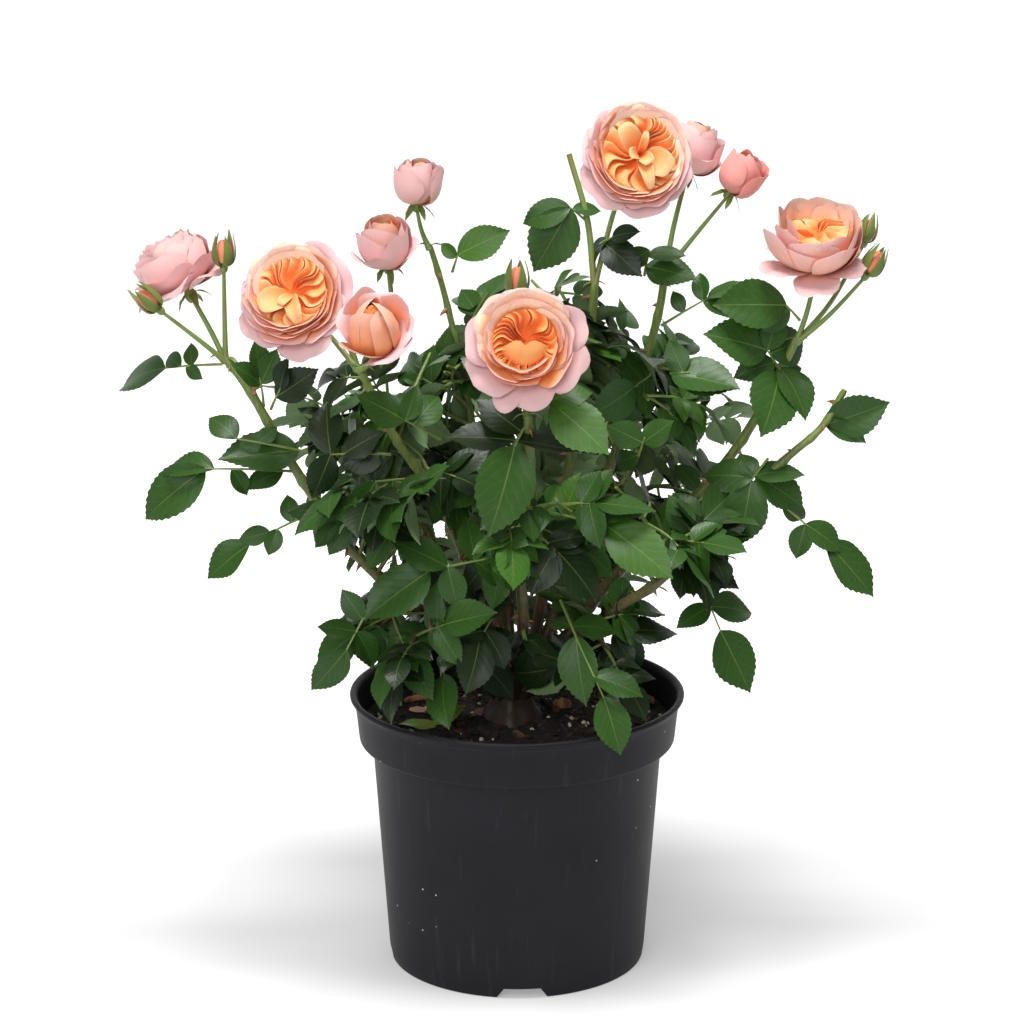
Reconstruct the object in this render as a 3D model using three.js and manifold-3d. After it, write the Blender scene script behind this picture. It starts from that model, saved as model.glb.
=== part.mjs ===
// A garden rose in a round nursery pot: pot, compost, stump, canes, flower stalks, blooms, buds and
// the masses of its leaves. Millimetres, +Z up. The origin is the middle of the pot's underside, and
// -Y is the side that the largest blooms face.
import * as THREE from "three";
import { mergeVertices } from "three/addons/utils/BufferGeometryUtils.js";
import Module from "manifold-3d";

const wasm = await Module();
wasm.setup();

// ---- Driving dimensions -------------------------------------------------------------------------
const GAP = 0.35; // between two pieces that touch

const POT = {
  height: 200,
  lipRadius: 120, // the rolled lip at the very top
  bandTopRadius: 116.5,
  bandFootRadius: 113.5,
  bandHeight: 36,
  wallTopRadius: 104,
  footRadius: 92,
  skirtHeight: 9,
  wall: 2.2,
  floorTop: 8,
  padRadius: 30, // the flat pad in the middle of the underside
  channelHeight: 4, // the raised ring round that pad, which holds the drain holes
  channelRadius: 82,
  segments: 32,
};
const NOTCH = { count: 4, width: 26, splay: 6, height: 7.5, turn: 0.04 };
const DRAIN = { count: 4, radius: 6, fromAxis: 56, sides: 8 };
const SOIL = { surface: 178, mound: 5, sides: POT.segments };
const STUMP = { x: -4, y: -4, footRadius: 21, topRadius: 13, height: 20, sides: 10 };

const LIMB_SIDES = 6;
const LIMB_STEP = 48; // the length of one straight facet of a limb
const STALK_SIDES = 5;

// Canes: where each one passes, in millimetres, and its radius at the foot and the tip. They rise
// from the stump, and the last point is the fork under the flowers or the cane's own end.
const CANES = {
  cane_left: {
    via: [[-55, -20, 252], [-111, -30, 308], [-156, -30, 374], [-187, -28, 430], [-202, -24, 450]],
    radius: [4.6, 2.9],
  },
  cane_front_left: {
    via: [[-28, -38, 285], [-54, -50, 355], [-84, -60, 402], [-108, -62, 452]],
    radius: [4.2, 2.6],
  },
  cane_inner_left: {
    via: [[-24, 30, 330], [-39, 50, 421], [-53, 60, 481], [-62, 60, 512]],
    radius: [3.4, 2.0],
  },
  cane_front: {
    via: [[4, -42, 262], [2, -58, 321], [9, -72, 348], [9, -90, 388], [7, -100, 428]],
    radius: [4.4, 2.9],
  },
  cane_middle: {
    via: [[30, 10, 330], [50, 12, 430], [54, 12, 495]],
    radius: [4.4, 3.0],
  },
  cane_inner_right: {
    via: [[52, 20, 320], [86, 22, 420], [100, 20, 475], [104, 20, 504]],
    radius: [4.2, 2.8],
  },
  cane_right: {
    via: [[70, 0, 285], [120, 0, 335], [158, 0, 384], [186, 0, 437], [195, 0, 458]],
    radius: [4.6, 2.9],
  },
  cane_low_right: {
    via: [[62, -30, 264], [99, -38, 292], [127, -36, 324], [189, -28, 380], [212, -24, 400], [228, -20, 426]],
    radius: [4.4, 2.4],
  },
  cane_back_left: {
    via: [[-60, 52, 290], [-100, 88, 370], [-122, 104, 430]],
    radius: [4.0, 2.4],
  },
  cane_back: {
    via: [[-8, 70, 290], [-14, 120, 380], [-8, 146, 450]],
    radius: [4.0, 2.4],
  },
  cane_back_right: {
    via: [[56, 62, 290], [96, 100, 365], [128, 122, 430]],
    radius: [4.0, 2.4],
  },
};

// Flowers: where the heart of each one is, which way it faces, how wide it is and how far open.
const FLOWERS = {
  bloom_front: { at: [6, -122, 478], facing: [0.03, -0.97, 0.24], width: 86, kind: "open" },
  bloom_left: { at: [-148, -72, 500], facing: [-0.14, -0.9, 0.42], width: 84, kind: "open" },
  bloom_top: { at: [81, -32, 588], facing: [0.12, -0.93, 0.34], width: 84, kind: "open" },
  bloom_right: { at: [206, -4, 527], facing: [0.02, -0.26, 0.97], width: 74, kind: "cupped" },
  bloom_far_left: { at: [-238, -8, 514], facing: [-0.46, 0.1, 0.88], width: 72, kind: "cupped" },
  bloom_half_low: { at: [-96, -98, 487], facing: [0.12, -0.86, 0.5], width: 54, kind: "half" },
  bloom_half_high: { at: [-92, 10, 524], facing: [-0.1, -0.25, 0.96], width: 44, kind: "half" },
  bloom_half_back: { at: [124, 34, 586], facing: [0.28, 0.1, 0.95], width: 44, kind: "half" },
  bud_opening_left: { at: [-70, 60, 557], facing: [0.05, -0.1, 0.99], width: 35, kind: "opening" },
  bud_opening_right: { at: [157, 20, 569], facing: [0.58, -0.1, 0.81], width: 33, kind: "opening" },
  bud_left_high: { at: [-201, -32, 525], facing: [0.02, -0.1, 0.99], width: 18, kind: "bud" },
  bud_left_low: { at: [-252, -42, 494], facing: [-0.72, -0.1, 0.68], width: 18, kind: "bud" },
  bud_front: { at: [0, -62, 512], facing: [0.1, -0.1, 0.99], width: 19, kind: "bud" },
  bud_right: { at: [247, -4, 512], facing: [0.5, -0.1, 0.86], width: 18, kind: "bud" },
  bud_right_back: { at: [246, 32, 528], facing: [0.3, 0.2, 0.93], width: 16, kind: "bud" },
};

// Flower stalks: the cane that each group ends, the fork it springs from and the flowers it carries.
// A cut end is a stalk that was pruned, with no flower on it.
const TRUSSES = {
  truss_left: {
    cane: "cane_left",
    fork: [-202, -24, 450],
    flowers: ["bloom_far_left", "bud_left_high", "bud_left_low"],
  },
  truss_front_left: {
    cane: "cane_front_left",
    fork: [-108, -62, 452],
    flowers: ["bloom_left", "bloom_half_low"],
  },
  stalk_upper_left: { fork: [-86, 4, 462], flowers: ["bloom_half_high"] },
  stalk_inner_left: { cane: "cane_inner_left", fork: [-62, 60, 512], flowers: ["bud_opening_left"] },
  stalk_front: { cane: "cane_front", fork: [7, -100, 428], flowers: ["bloom_front", "bud_front"] },
  truss_top: { cane: "cane_middle", fork: [54, 12, 495], flowers: ["bloom_top"], cutEnd: [36, 24, 584] },
  truss_inner_right: {
    cane: "cane_inner_right",
    fork: [104, 20, 504],
    flowers: ["bloom_half_back", "bud_opening_right"],
  },
  truss_right: {
    cane: "cane_right",
    fork: [195, 0, 458],
    flowers: ["bloom_right", "bud_right", "bud_right_back"],
  },
};
// A stalk starts a little under its fork, by the seat, so that it is rooted in the cane's end.
const STALK = { footRadius: 2.1, tipRadius: 1.6, budTipRadius: 1.2, seat: 3 };

// Leaf masses of the crown: their middles and half sizes. Each is cut where it meets an earlier one.
const CROWN = {
  leaves_front: { at: [4, -84, 362], half: [56, 44, 52] },
  leaves_front_left: { at: [-84, -62, 366], half: [50, 44, 56] },
  leaves_front_right: { at: [88, -64, 356], half: [54, 44, 60] },
  leaves_low_left: { at: [-66, -62, 264], half: [54, 46, 40] },
  leaves_low_right: { at: [48, -70, 262], half: [56, 44, 42] },
  leaves_upper_left: { at: [-82, 6, 430], half: [50, 52, 48] },
  leaves_upper_middle: { at: [4, 24, 458], half: [48, 54, 58] },
  leaves_upper_right: { at: [94, 2, 446], half: [56, 52, 52] },
  leaves_back_left: { at: [-90, 90, 358], half: [64, 62, 76] },
  leaves_back: { at: [-2, 124, 378], half: [56, 58, 84] },
  leaves_back_right: { at: [90, 94, 356], half: [66, 60, 78] },
  leaves_low_back: { at: [0, 80, 262], half: [88, 50, 44] },
};

// Sprays of leaves that reach out past the crown: one end, the other end, and half the width and
// half the thickness of the flattened lobe between them.
const SPRAYS = {
  spray_left_high: { from: [-186, -26, 446], to: [-286, -6, 416], half: [15, 10] },
  spray_left_middle: { from: [-144, -34, 380], to: [-256, -48, 356], half: [25, 12] },
  spray_left_low: { from: [-118, -32, 342], to: [-212, -52, 308], half: [19, 11] },
  spray_drop_left: { from: [-102, -66, 268], to: [-136, -82, 236], half: [22, 11] },
  spray_right_high: { from: [158, 4, 440], to: [212, -8, 408], half: [30, 14] },
  spray_right_tip: { from: [214, -26, 406], to: [254, -10, 410], half: [10, 8] },
  spray_right_middle: { from: [128, -48, 346], to: [248, -22, 290], half: [23, 12] },
  spray_right_low: { from: [94, -38, 304], to: [160, -56, 232], half: [22, 11] },
  spray_over_rim: { from: [44, -100, 246], to: [66, -122, 204], half: [20, 9] },
  spray_back_left: { from: [-128, 104, 374], to: [-198, 150, 398], half: [26, 13] },
  spray_back_right: { from: [126, 108, 362], to: [196, 152, 374], half: [26, 13] },
};

// ---- Materials ----------------------------------------------------------------------------------
const paint = (color, roughness) => new THREE.MeshStandardMaterial({ color, roughness, metalness: 0 });
const MATERIALS = {
  pot: paint(0x2b2a2f, 0.6),
  soil: paint(0x2a1f18, 0.95),
  bark: paint(0x6b6a3a, 0.8),
  cane: paint(0x5d6b30, 0.6),
  leaf: paint(0x2f5a2c, 0.5),
  petal: paint(0xf0b9a4, 0.7),
  bud: paint(0x8f8a45, 0.6),
};

// ---- Solids -------------------------------------------------------------------------------------
// A closed three.js geometry as a solid that can be cut.
function solid(geometry) {
  const bare = geometry.index ? geometry.toNonIndexed() : geometry.clone();
  bare.deleteAttribute("normal");
  bare.deleteAttribute("uv");
  const merged = mergeVertices(bare, 1e-3);
  const vertProperties = new Float32Array(merged.attributes.position.array);
  const triVerts = new Uint32Array(merged.index.array);
  return new wasm.Manifold(new wasm.Mesh({ numProp: 3, vertProperties, triVerts }));
}

function meshOf(name, shape, material) {
  const made = shape.getMesh();
  const geometry = new THREE.BufferGeometry();
  geometry.setAttribute("position", new THREE.BufferAttribute(made.vertProperties, 3));
  geometry.setIndex(new THREE.BufferAttribute(made.triVerts, 1));
  geometry.computeVertexNormals();
  const mesh = new THREE.Mesh(geometry, material);
  mesh.name = name;
  return mesh;
}

const largest = (shape) =>
  shape.decompose().reduce((best, piece) => (piece.volume() > best.volume() ? piece : best));

const cutBy = (shape, cutters) => cutters.reduce((left, cutter) => left.subtract(cutter), shape);

// A profile of [radius, height] pairs turned about the upright axis.
function turned(profile, segments) {
  const points = profile.map(([radius, height]) => new THREE.Vector2(radius, height));
  return new THREE.LatheGeometry(points, segments).rotateX(Math.PI / 2);
}

// ---- Pot, compost and stump ---------------------------------------------------------------------
const bandFoot = POT.height - POT.bandHeight;

// The pot's wall radius, outside, at a height below the band.
const wallRadius = (z) =>
  THREE.MathUtils.mapLinear(z, POT.skirtHeight, bandFoot, POT.footRadius + 1, POT.wallTopRadius);

function potSolid() {
  const { height, wall, floorTop, channelHeight } = POT;
  const profile = [
    [0, 0],
    [POT.padRadius, 0],
    [POT.padRadius + 2, channelHeight],
    [POT.channelRadius, channelHeight],
    [POT.channelRadius + 2, 0],
    [POT.footRadius - 1, 0],
    [POT.footRadius, 1.2],
    [wallRadius(POT.skirtHeight), POT.skirtHeight],
    [POT.wallTopRadius, bandFoot],
    [POT.bandFootRadius - 2, bandFoot + 0.6],
    [POT.bandFootRadius, bandFoot + 4],
    [POT.bandTopRadius, height - 5],
    [POT.lipRadius, height - 4],
    [POT.lipRadius - 0.8, height],
    [POT.lipRadius - 3.6, height],
    [POT.bandTopRadius - wall, height - 5],
    [POT.bandFootRadius - wall, bandFoot + 6],
    [POT.wallTopRadius - wall, bandFoot + 1],
    [wallRadius(floorTop + 3) - wall, floorTop + 3],
    [wallRadius(floorTop) - wall - 3, floorTop],
    [0, floorTop],
  ];
  const cup = solid(turned(profile, POT.segments));

  const notch = new THREE.Shape();
  const halfTop = NOTCH.width / 2;
  const halfFoot = halfTop + NOTCH.splay;
  notch.moveTo(-halfFoot, -1);
  notch.lineTo(halfFoot, -1);
  notch.lineTo(halfTop, NOTCH.height);
  notch.lineTo(-halfTop, NOTCH.height);
  const radialLength = 24;
  const cutters = [];
  for (let i = 0; i < NOTCH.count; i++) {
    const prism = new THREE.ExtrudeGeometry(notch, { depth: radialLength, bevelEnabled: false });
    prism.rotateX(Math.PI / 2).translate(0, -POT.channelRadius + 4, 0);
    prism.rotateZ(NOTCH.turn + (i * 2 * Math.PI) / NOTCH.count);
    cutters.push(solid(prism));
  }
  for (let i = 0; i < DRAIN.count; i++) {
    const drill = new THREE.CylinderGeometry(DRAIN.radius, DRAIN.radius, 3 * floorTop, DRAIN.sides);
    const angle = ((i + 0.5) * 2 * Math.PI) / DRAIN.count;
    drill.rotateX(Math.PI / 2).translate(DRAIN.fromAxis * Math.cos(angle), DRAIN.fromAxis * Math.sin(angle), 0);
    cutters.push(solid(drill));
  }
  return cutBy(cup, cutters);
}

function soilSolid() {
  const floor = POT.floorTop + GAP;
  const inside = (z) => wallRadius(z) - POT.wall - GAP;
  const bandInside = POT.bandFootRadius - POT.wall - GAP;
  const profile = [
    [0, floor],
    [inside(POT.floorTop) - 3.5, floor],
    [inside(POT.floorTop + 3.5), POT.floorTop + 3.5],
    [inside(bandFoot), bandFoot + 1.8],
    [bandInside - 0.4, bandFoot + 6.9],
    [bandInside, SOIL.surface - 3],
    [bandInside * 0.86, SOIL.surface - 1],
    [bandInside * 0.5, SOIL.surface + 0.4 * SOIL.mound],
    [bandInside * 0.24, SOIL.surface + SOIL.mound],
    [0, SOIL.surface + SOIL.mound],
  ];
  return solid(turned(profile, SOIL.sides));
}

const soilTop = SOIL.surface + SOIL.mound;

function stumpSolid(grow) {
  const foot = soilTop + GAP;
  const wider = 1.5 * grow;
  const geometry = turned(
    [
      [0, foot - grow],
      [STUMP.footRadius + wider, foot - grow],
      [STUMP.footRadius * 0.86 + wider, foot + 0.3 * STUMP.height],
      [STUMP.topRadius + wider, foot + 0.85 * STUMP.height + grow],
      [STUMP.topRadius * 0.6 + wider, foot + STUMP.height + wider],
      [0, foot + STUMP.height + wider],
    ],
    STUMP.sides,
  );
  const place = geometry.attributes.position;
  for (let i = 0; i < place.count; i++) {
    const angle = Math.atan2(place.getY(i), place.getX(i));
    const knob = 1 + 0.12 * Math.sin(3 * angle + 0.7) + 0.06 * Math.sin(5 * angle);
    place.setXY(i, place.getX(i) * knob, place.getY(i) * knob);
  }
  return solid(geometry.translate(STUMP.x, STUMP.y, 0));
}

// ---- Limbs --------------------------------------------------------------------------------------
const vector = ([x, y, z]) => new THREE.Vector3(x, y, z);

// A tapering limb along a smooth curve through the points, closed at both ends. One that is grown is
// wider all round and longer at both ends.
function limbSolid(points, footRadius, tipRadius, sides, grow = 0) {
  const curve = new THREE.CatmullRomCurve3(points, false, "centripetal");
  const steps = Math.max(points.length - 1, Math.round(curve.getLength() / LIMB_STEP));
  const frames = curve.computeFrenetFrames(steps, false);
  const position = [];
  const index = [];
  for (let i = 0; i <= steps; i++) {
    const share = i / steps;
    const centre = curve.getPointAt(share);
    if (i === 0) centre.addScaledVector(curve.getTangentAt(0), -grow);
    if (i === steps) centre.addScaledVector(curve.getTangentAt(1), grow);
    const radius = THREE.MathUtils.lerp(footRadius, tipRadius, share) + grow;
    for (let k = 0; k < sides; k++) {
      const angle = (k * 2 * Math.PI) / sides;
      const corner = centre
        .clone()
        .addScaledVector(frames.normals[i], radius * Math.cos(angle))
        .addScaledVector(frames.binormals[i], radius * Math.sin(angle));
      position.push(corner.x, corner.y, corner.z);
    }
  }
  for (let i = 0; i < steps; i++) {
    for (let k = 0; k < sides; k++) {
      const a = i * sides + k;
      const b = i * sides + ((k + 1) % sides);
      index.push(a, b, b + sides, a, b + sides, a + sides);
    }
  }
  const last = steps * sides;
  for (let k = 1; k < sides - 1; k++) {
    index.push(0, k + 1, k);
    index.push(last, last + k, last + k + 1);
  }
  const geometry = new THREE.BufferGeometry();
  geometry.setAttribute("position", new THREE.Float32BufferAttribute(position, 3));
  geometry.setIndex(index);
  return solid(geometry);
}

// A cane starts on the stump, on the side that it leans towards.
function canePoints(cane) {
  const lean = new THREE.Vector2(cane.via[0][0] - STUMP.x, cane.via[0][1] - STUMP.y).normalize();
  const fromAxis = 0.72 * STUMP.topRadius;
  const foot = [STUMP.x + fromAxis * lean.x, STUMP.y + fromAxis * lean.y, soilTop + 0.7 * STUMP.height];
  return [foot, ...cane.via].map(vector);
}

const caneSolid = (cane, grow = 0) => limbSolid(canePoints(cane), ...cane.radius, LIMB_SIDES, grow);

// ---- Flowers ------------------------------------------------------------------------------------
// Half sections of a flower, as shares of its half width, from the top of the stalk up. The heart of
// the flower is at height 0.
const SECTIONS = {
  open: [[0, -0.66], [0.14, -0.64], [0.2, -0.48], [0.62, -0.4], [0.96, -0.2], [1, -0.05], [0.78, 0.12], [0.5, 0.26], [0, 0.2]],
  cupped: [[0, -0.86], [0.14, -0.84], [0.2, -0.66], [0.7, -0.56], [1, -0.34], [0.86, -0.1], [0.84, 0.2], [0.56, 0.5], [0, 0.52]],
  half: [[0, -1.06], [0.2, -1.02], [0.28, -0.8], [0.76, -0.6], [1, -0.2], [0.86, 0.26], [0.5, 0.74], [0, 0.86]],
  opening: [[0, -1.2], [0.26, -1.16], [0.34, -0.92], [0.84, -0.66], [1, -0.16], [0.9, 0.36], [0.62, 0.86], [0, 0.96]],
  bud: [[0, -1.5], [0.4, -1.4], [0.52, -0.96], [0.92, -0.4], [1, 0.06], [0.72, 0.72], [0.34, 1.3], [0, 1.5]],
};
const FLOWER_SIDES = { open: 11, cupped: 11, half: 9, opening: 8, bud: 6 };

const turnTo = (facing) =>
  new THREE.Quaternion().setFromUnitVectors(new THREE.Vector3(0, 0, 1), vector(facing).normalize());

function flowerSolid(flower, grow = 0) {
  const half = flower.width / 2 + grow;
  const section = SECTIONS[flower.kind].map(([out, up]) => [out * half, up * half]);
  const geometry = turned(section, FLOWER_SIDES[flower.kind]);
  geometry.applyQuaternion(turnTo(flower.facing)).translate(...flower.at);
  return solid(geometry);
}

// The top of a flower's stalk, just under its hip.
function stalkTop(flower) {
  const lowest = SECTIONS[flower.kind][0][1] * (flower.width / 2) - GAP;
  return vector(flower.at).addScaledVector(vector(flower.facing).normalize(), lowest);
}

const rootedAt = (fork) => fork.clone().setZ(fork.z - STALK.seat);

// A stalk leaves its fork and bends into the axis of the flower that it carries.
function stalkPoints(fork, flower) {
  const top = stalkTop(flower);
  const reach = top.distanceTo(fork);
  const under = top.clone().addScaledVector(vector(flower.facing).normalize(), -0.3 * reach);
  return [rootedAt(fork), fork.clone().lerp(under, 0.6), top];
}

function trussSolid(truss, grow = 0) {
  const fork = vector(truss.fork);
  const stalks = truss.flowers.map((name) => {
    const flower = FLOWERS[name];
    const tip = flower.kind === "bud" ? STALK.budTipRadius : STALK.tipRadius;
    return limbSolid(stalkPoints(fork, flower), STALK.footRadius, tip, STALK_SIDES, grow);
  });
  if (truss.cutEnd) {
    const ends = [rootedAt(fork), vector(truss.cutEnd)];
    stalks.push(limbSolid(ends, STALK.footRadius, STALK.footRadius, STALK_SIDES, grow));
  }
  return stalks.reduce((joined, stalk) => joined.add(stalk));
}

// ---- Leaf masses --------------------------------------------------------------------------------
// A smooth uneven factor near 1, from a direction and the mass's own number.
function unevenness(direction, seed) {
  const { x, y, z } = direction;
  const broad = Math.sin(2.6 * x + 1.7 * seed) * Math.cos(2.9 * y - 1.3 * seed) + Math.sin(3.1 * z + 0.9 * seed);
  const fine = Math.sin(6.3 * x - seed) * Math.sin(5.7 * y + 2 * seed) * Math.cos(6.1 * z + seed);
  return 1 + 0.08 * broad + 0.07 * fine;
}

function lumpGeometry(halfSizes, seed, detail) {
  const geometry = new THREE.IcosahedronGeometry(1, detail);
  const place = geometry.attributes.position;
  const direction = new THREE.Vector3();
  for (let i = 0; i < place.count; i++) {
    direction.fromBufferAttribute(place, i).normalize();
    direction.multiplyScalar(unevenness(direction, seed));
    place.setXYZ(i, direction.x * halfSizes[0], direction.y * halfSizes[1], direction.z * halfSizes[2]);
  }
  return geometry;
}

function crownSolid(mass, seed, grow = 0) {
  const halfSizes = mass.half.map((half) => half + grow);
  return solid(lumpGeometry(halfSizes, seed, 2).translate(...mass.at));
}

// A flattened lobe from one end to the other. Its flat side faces up and forward.
function spraySolid(spray, seed) {
  const from = vector(spray.from);
  const to = vector(spray.to);
  const along = to.clone().sub(from);
  const geometry = lumpGeometry([along.length() / 2, spray.half[0], spray.half[1]], seed, 1);
  const x = along.normalize();
  const z = new THREE.Vector3(0, -0.8, 0.6).projectOnPlane(x).normalize();
  const y = z.clone().cross(x);
  const middle = from.add(to).multiplyScalar(0.5);
  geometry.applyMatrix4(new THREE.Matrix4().makeBasis(x, y, z).setPosition(middle));
  return solid(geometry);
}

// Nothing but the compost and the stump is inside the pot's circle below its lip.
function potKeepOut() {
  const radius = POT.lipRadius + GAP;
  const top = POT.height + GAP;
  return solid(new THREE.CylinderGeometry(radius, radius, top, 48).rotateX(Math.PI / 2).translate(0, 0, top / 2));
}

// ---- The plant ----------------------------------------------------------------------------------
const root = new THREE.Group();
const add = (name, shape, material) => root.add(meshOf(name, shape, material));

add("pot", potSolid(), MATERIALS.pot);
add("compost", soilSolid(), MATERIALS.soil);
add("stump", stumpSolid(0), MATERIALS.bark);

const flowerCutters = [];
for (const [name, flower] of Object.entries(FLOWERS)) {
  const shape = cutBy(flowerSolid(flower), flowerCutters);
  add(name, largest(shape), flower.kind === "bud" ? MATERIALS.bud : MATERIALS.petal);
  flowerCutters.push(flowerSolid(flower, GAP));
}

const keepOut = potKeepOut();
const crownCutters = [];
Object.entries(CROWN).forEach(([name, mass], i) => {
  const shape = cutBy(crownSolid(mass, i + 1), [keepOut, ...flowerCutters, ...crownCutters]);
  add(name, largest(shape), MATERIALS.leaf);
  crownCutters.push(crownSolid(mass, i + 1, GAP));
});

// Canes are cut by the stump, by earlier canes, by the masses of leaves and by the flowers. What a
// mass leaves of a cane above itself goes with the flower stalks that stand on it.
const SLIVER = 100; // pieces of a cut limb under this many cubic millimetres are left out
const piecesOf = (shape) =>
  shape
    .decompose()
    .filter((piece) => piece.volume() > SLIVER)
    .sort((a, b) => a.boundingBox().min[2] - b.boundingBox().min[2]);

const soft = [...crownCutters, ...flowerCutters];
const limbCutters = { stump: stumpSolid(GAP) };
const upperPieces = {};
for (const [name, cane] of Object.entries(CANES)) {
  const [lowest, ...upper] = piecesOf(cutBy(caneSolid(cane), [...Object.values(limbCutters), ...soft]));
  add(name, lowest, MATERIALS.cane);
  if (upper.length > 0) upperPieces[name] = upper[upper.length - 1];
  limbCutters[name] = caneSolid(cane, GAP);
}
for (const [name, truss] of Object.entries(TRUSSES)) {
  const upper = upperPieces[truss.cane];
  const others = Object.entries(limbCutters).filter(([cane]) => !upper || cane !== truss.cane);
  const cutters = [...others.map(([, cutter]) => cutter), ...soft];
  const stalks = cutBy(trussSolid(truss), cutters);
  add(name, largest(upper ? stalks.add(upper) : stalks), MATERIALS.cane);
  limbCutters[name] = trussSolid(truss, GAP);
}

Object.entries(SPRAYS).forEach(([name, spray], i) => {
  const seed = Object.keys(CROWN).length + i + 1;
  const shape = cutBy(spraySolid(spray, seed), [keepOut, ...Object.values(limbCutters), ...soft]);
  add(name, largest(shape), MATERIALS.leaf);
});

export default root;
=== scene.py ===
"""A garden rose in a round nursery pot: the finish of every surface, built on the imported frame.

Lengths in the tables and in the shape functions are real millimetres; Shape.mesh turns them to metres.
-Y is the side that the largest blooms face, and the origin is the middle of the pot's underside.
"""
import math

import bmesh
import bpy
import numpy as np
from bpy.props import FloatProperty, FloatVectorProperty, IntProperty, PointerProperty
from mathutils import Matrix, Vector


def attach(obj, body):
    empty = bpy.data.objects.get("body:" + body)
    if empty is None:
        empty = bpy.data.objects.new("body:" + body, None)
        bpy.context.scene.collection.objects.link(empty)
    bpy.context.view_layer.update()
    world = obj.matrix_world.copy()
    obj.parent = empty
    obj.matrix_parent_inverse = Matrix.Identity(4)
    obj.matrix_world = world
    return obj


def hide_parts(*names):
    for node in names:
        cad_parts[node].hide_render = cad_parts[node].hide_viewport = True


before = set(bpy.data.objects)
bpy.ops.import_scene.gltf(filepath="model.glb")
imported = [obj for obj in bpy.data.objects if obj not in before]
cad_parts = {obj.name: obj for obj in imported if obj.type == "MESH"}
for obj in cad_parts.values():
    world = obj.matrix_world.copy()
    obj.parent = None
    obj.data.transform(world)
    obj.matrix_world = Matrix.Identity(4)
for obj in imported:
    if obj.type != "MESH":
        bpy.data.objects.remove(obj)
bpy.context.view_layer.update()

bl_info = {
    "name": "Potted garden rose",
    "version": (1, 0, 0),
    "blender": (4, 5, 0),
    "location": "3D View > Sidebar > Rose",
    "description": "Builds a garden rose in a nursery pot around its packed frame",
    "category": "Add Mesh",
}

MM = 0.001
UV_UNIT = 100  # millimetres of surface for each unit of a limb's UV
UP = np.array([0.0, 0.0, 1.0])

# ---- Sizes and places, in millimetres -------------------------------------------------------------
POT_HEIGHT = 200
LIP_RADIUS = 120
BAND_TOP_RADIUS = 116.5
BAND_FOOT_RADIUS = 113.5
BAND_FOOT = 164
WALL_TOP_RADIUS = 104
FOOT_RADIUS = 92
SKIRT_HEIGHT = 9
WALL = 2.2
FLOOR_TOP = 8
PAD_RADIUS = 30
CHANNEL_HEIGHT = 4
CHANNEL_RADIUS = 82
POT_SEGMENTS = 160
POT_SHARP = 40  # degrees at which an edge of the pot is drawn sharp
NOTCH_COUNT = 4
NOTCH_WIDTH = 26
NOTCH_SPLAY = 6
NOTCH_HEIGHT = 7.5
NOTCH_DEPTH = 24
NOTCH_TURN = 0.04
DRAIN_COUNT = 4
DRAIN_RADIUS = 6
DRAIN_FROM_AXIS = 56
SOIL_SURFACE = 178
SOIL_MOUND = 5
SOIL_TOP = SOIL_SURFACE + SOIL_MOUND
STREWN_RADIUS = 106
CHIP_LENGTHS = (4, 17)
BEAD_WIDTHS = (1.8, 4.6)
THORNS_START = 212
STUMP_AT = (-4, -4)
STUMP_FOOT_RADIUS = 21
STUMP_TOP_RADIUS = 13
STUMP_HEIGHT = 20

# Each cane: the points that it passes after the stump, then its radius at the foot and at the tip.
CANES = {
    "cane_left": (
        [(-55, -20, 252), (-111, -30, 308), (-156, -30, 374), (-187, -28, 430), (-202, -24, 450)], 4.6, 2.9,
    ),
    "cane_front_left": ([(-28, -38, 285), (-54, -50, 355), (-84, -60, 402), (-108, -62, 452)], 4.2, 2.6),
    "cane_inner_left": ([(-24, 30, 330), (-39, 50, 421), (-53, 60, 481), (-62, 60, 512)], 3.4, 2.0),
    "cane_front": ([(4, -42, 262), (2, -58, 321), (9, -72, 348), (9, -90, 388), (7, -100, 428)], 4.4, 2.9),
    "cane_middle": ([(30, 10, 330), (50, 12, 430), (54, 12, 495)], 4.4, 3.0),
    "cane_inner_right": ([(52, 20, 320), (86, 22, 420), (100, 20, 475), (104, 20, 504)], 4.2, 2.8),
    "cane_right": ([(70, 0, 285), (120, 0, 335), (158, 0, 384), (186, 0, 437), (195, 0, 458)], 4.6, 2.9),
    "cane_low_right": (
        [(62, -30, 264), (99, -38, 292), (127, -36, 324), (189, -28, 380), (212, -24, 400), (228, -20, 426)],
        4.4, 2.4,
    ),
    "cane_back_left": ([(-60, 52, 290), (-100, 88, 370), (-122, 104, 430)], 4.0, 2.4),
    "cane_back": ([(-8, 70, 290), (-14, 120, 380), (-8, 146, 450)], 4.0, 2.4),
    "cane_back_right": ([(56, 62, 290), (96, 100, 365), (128, 122, 430)], 4.0, 2.4),
}
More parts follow.
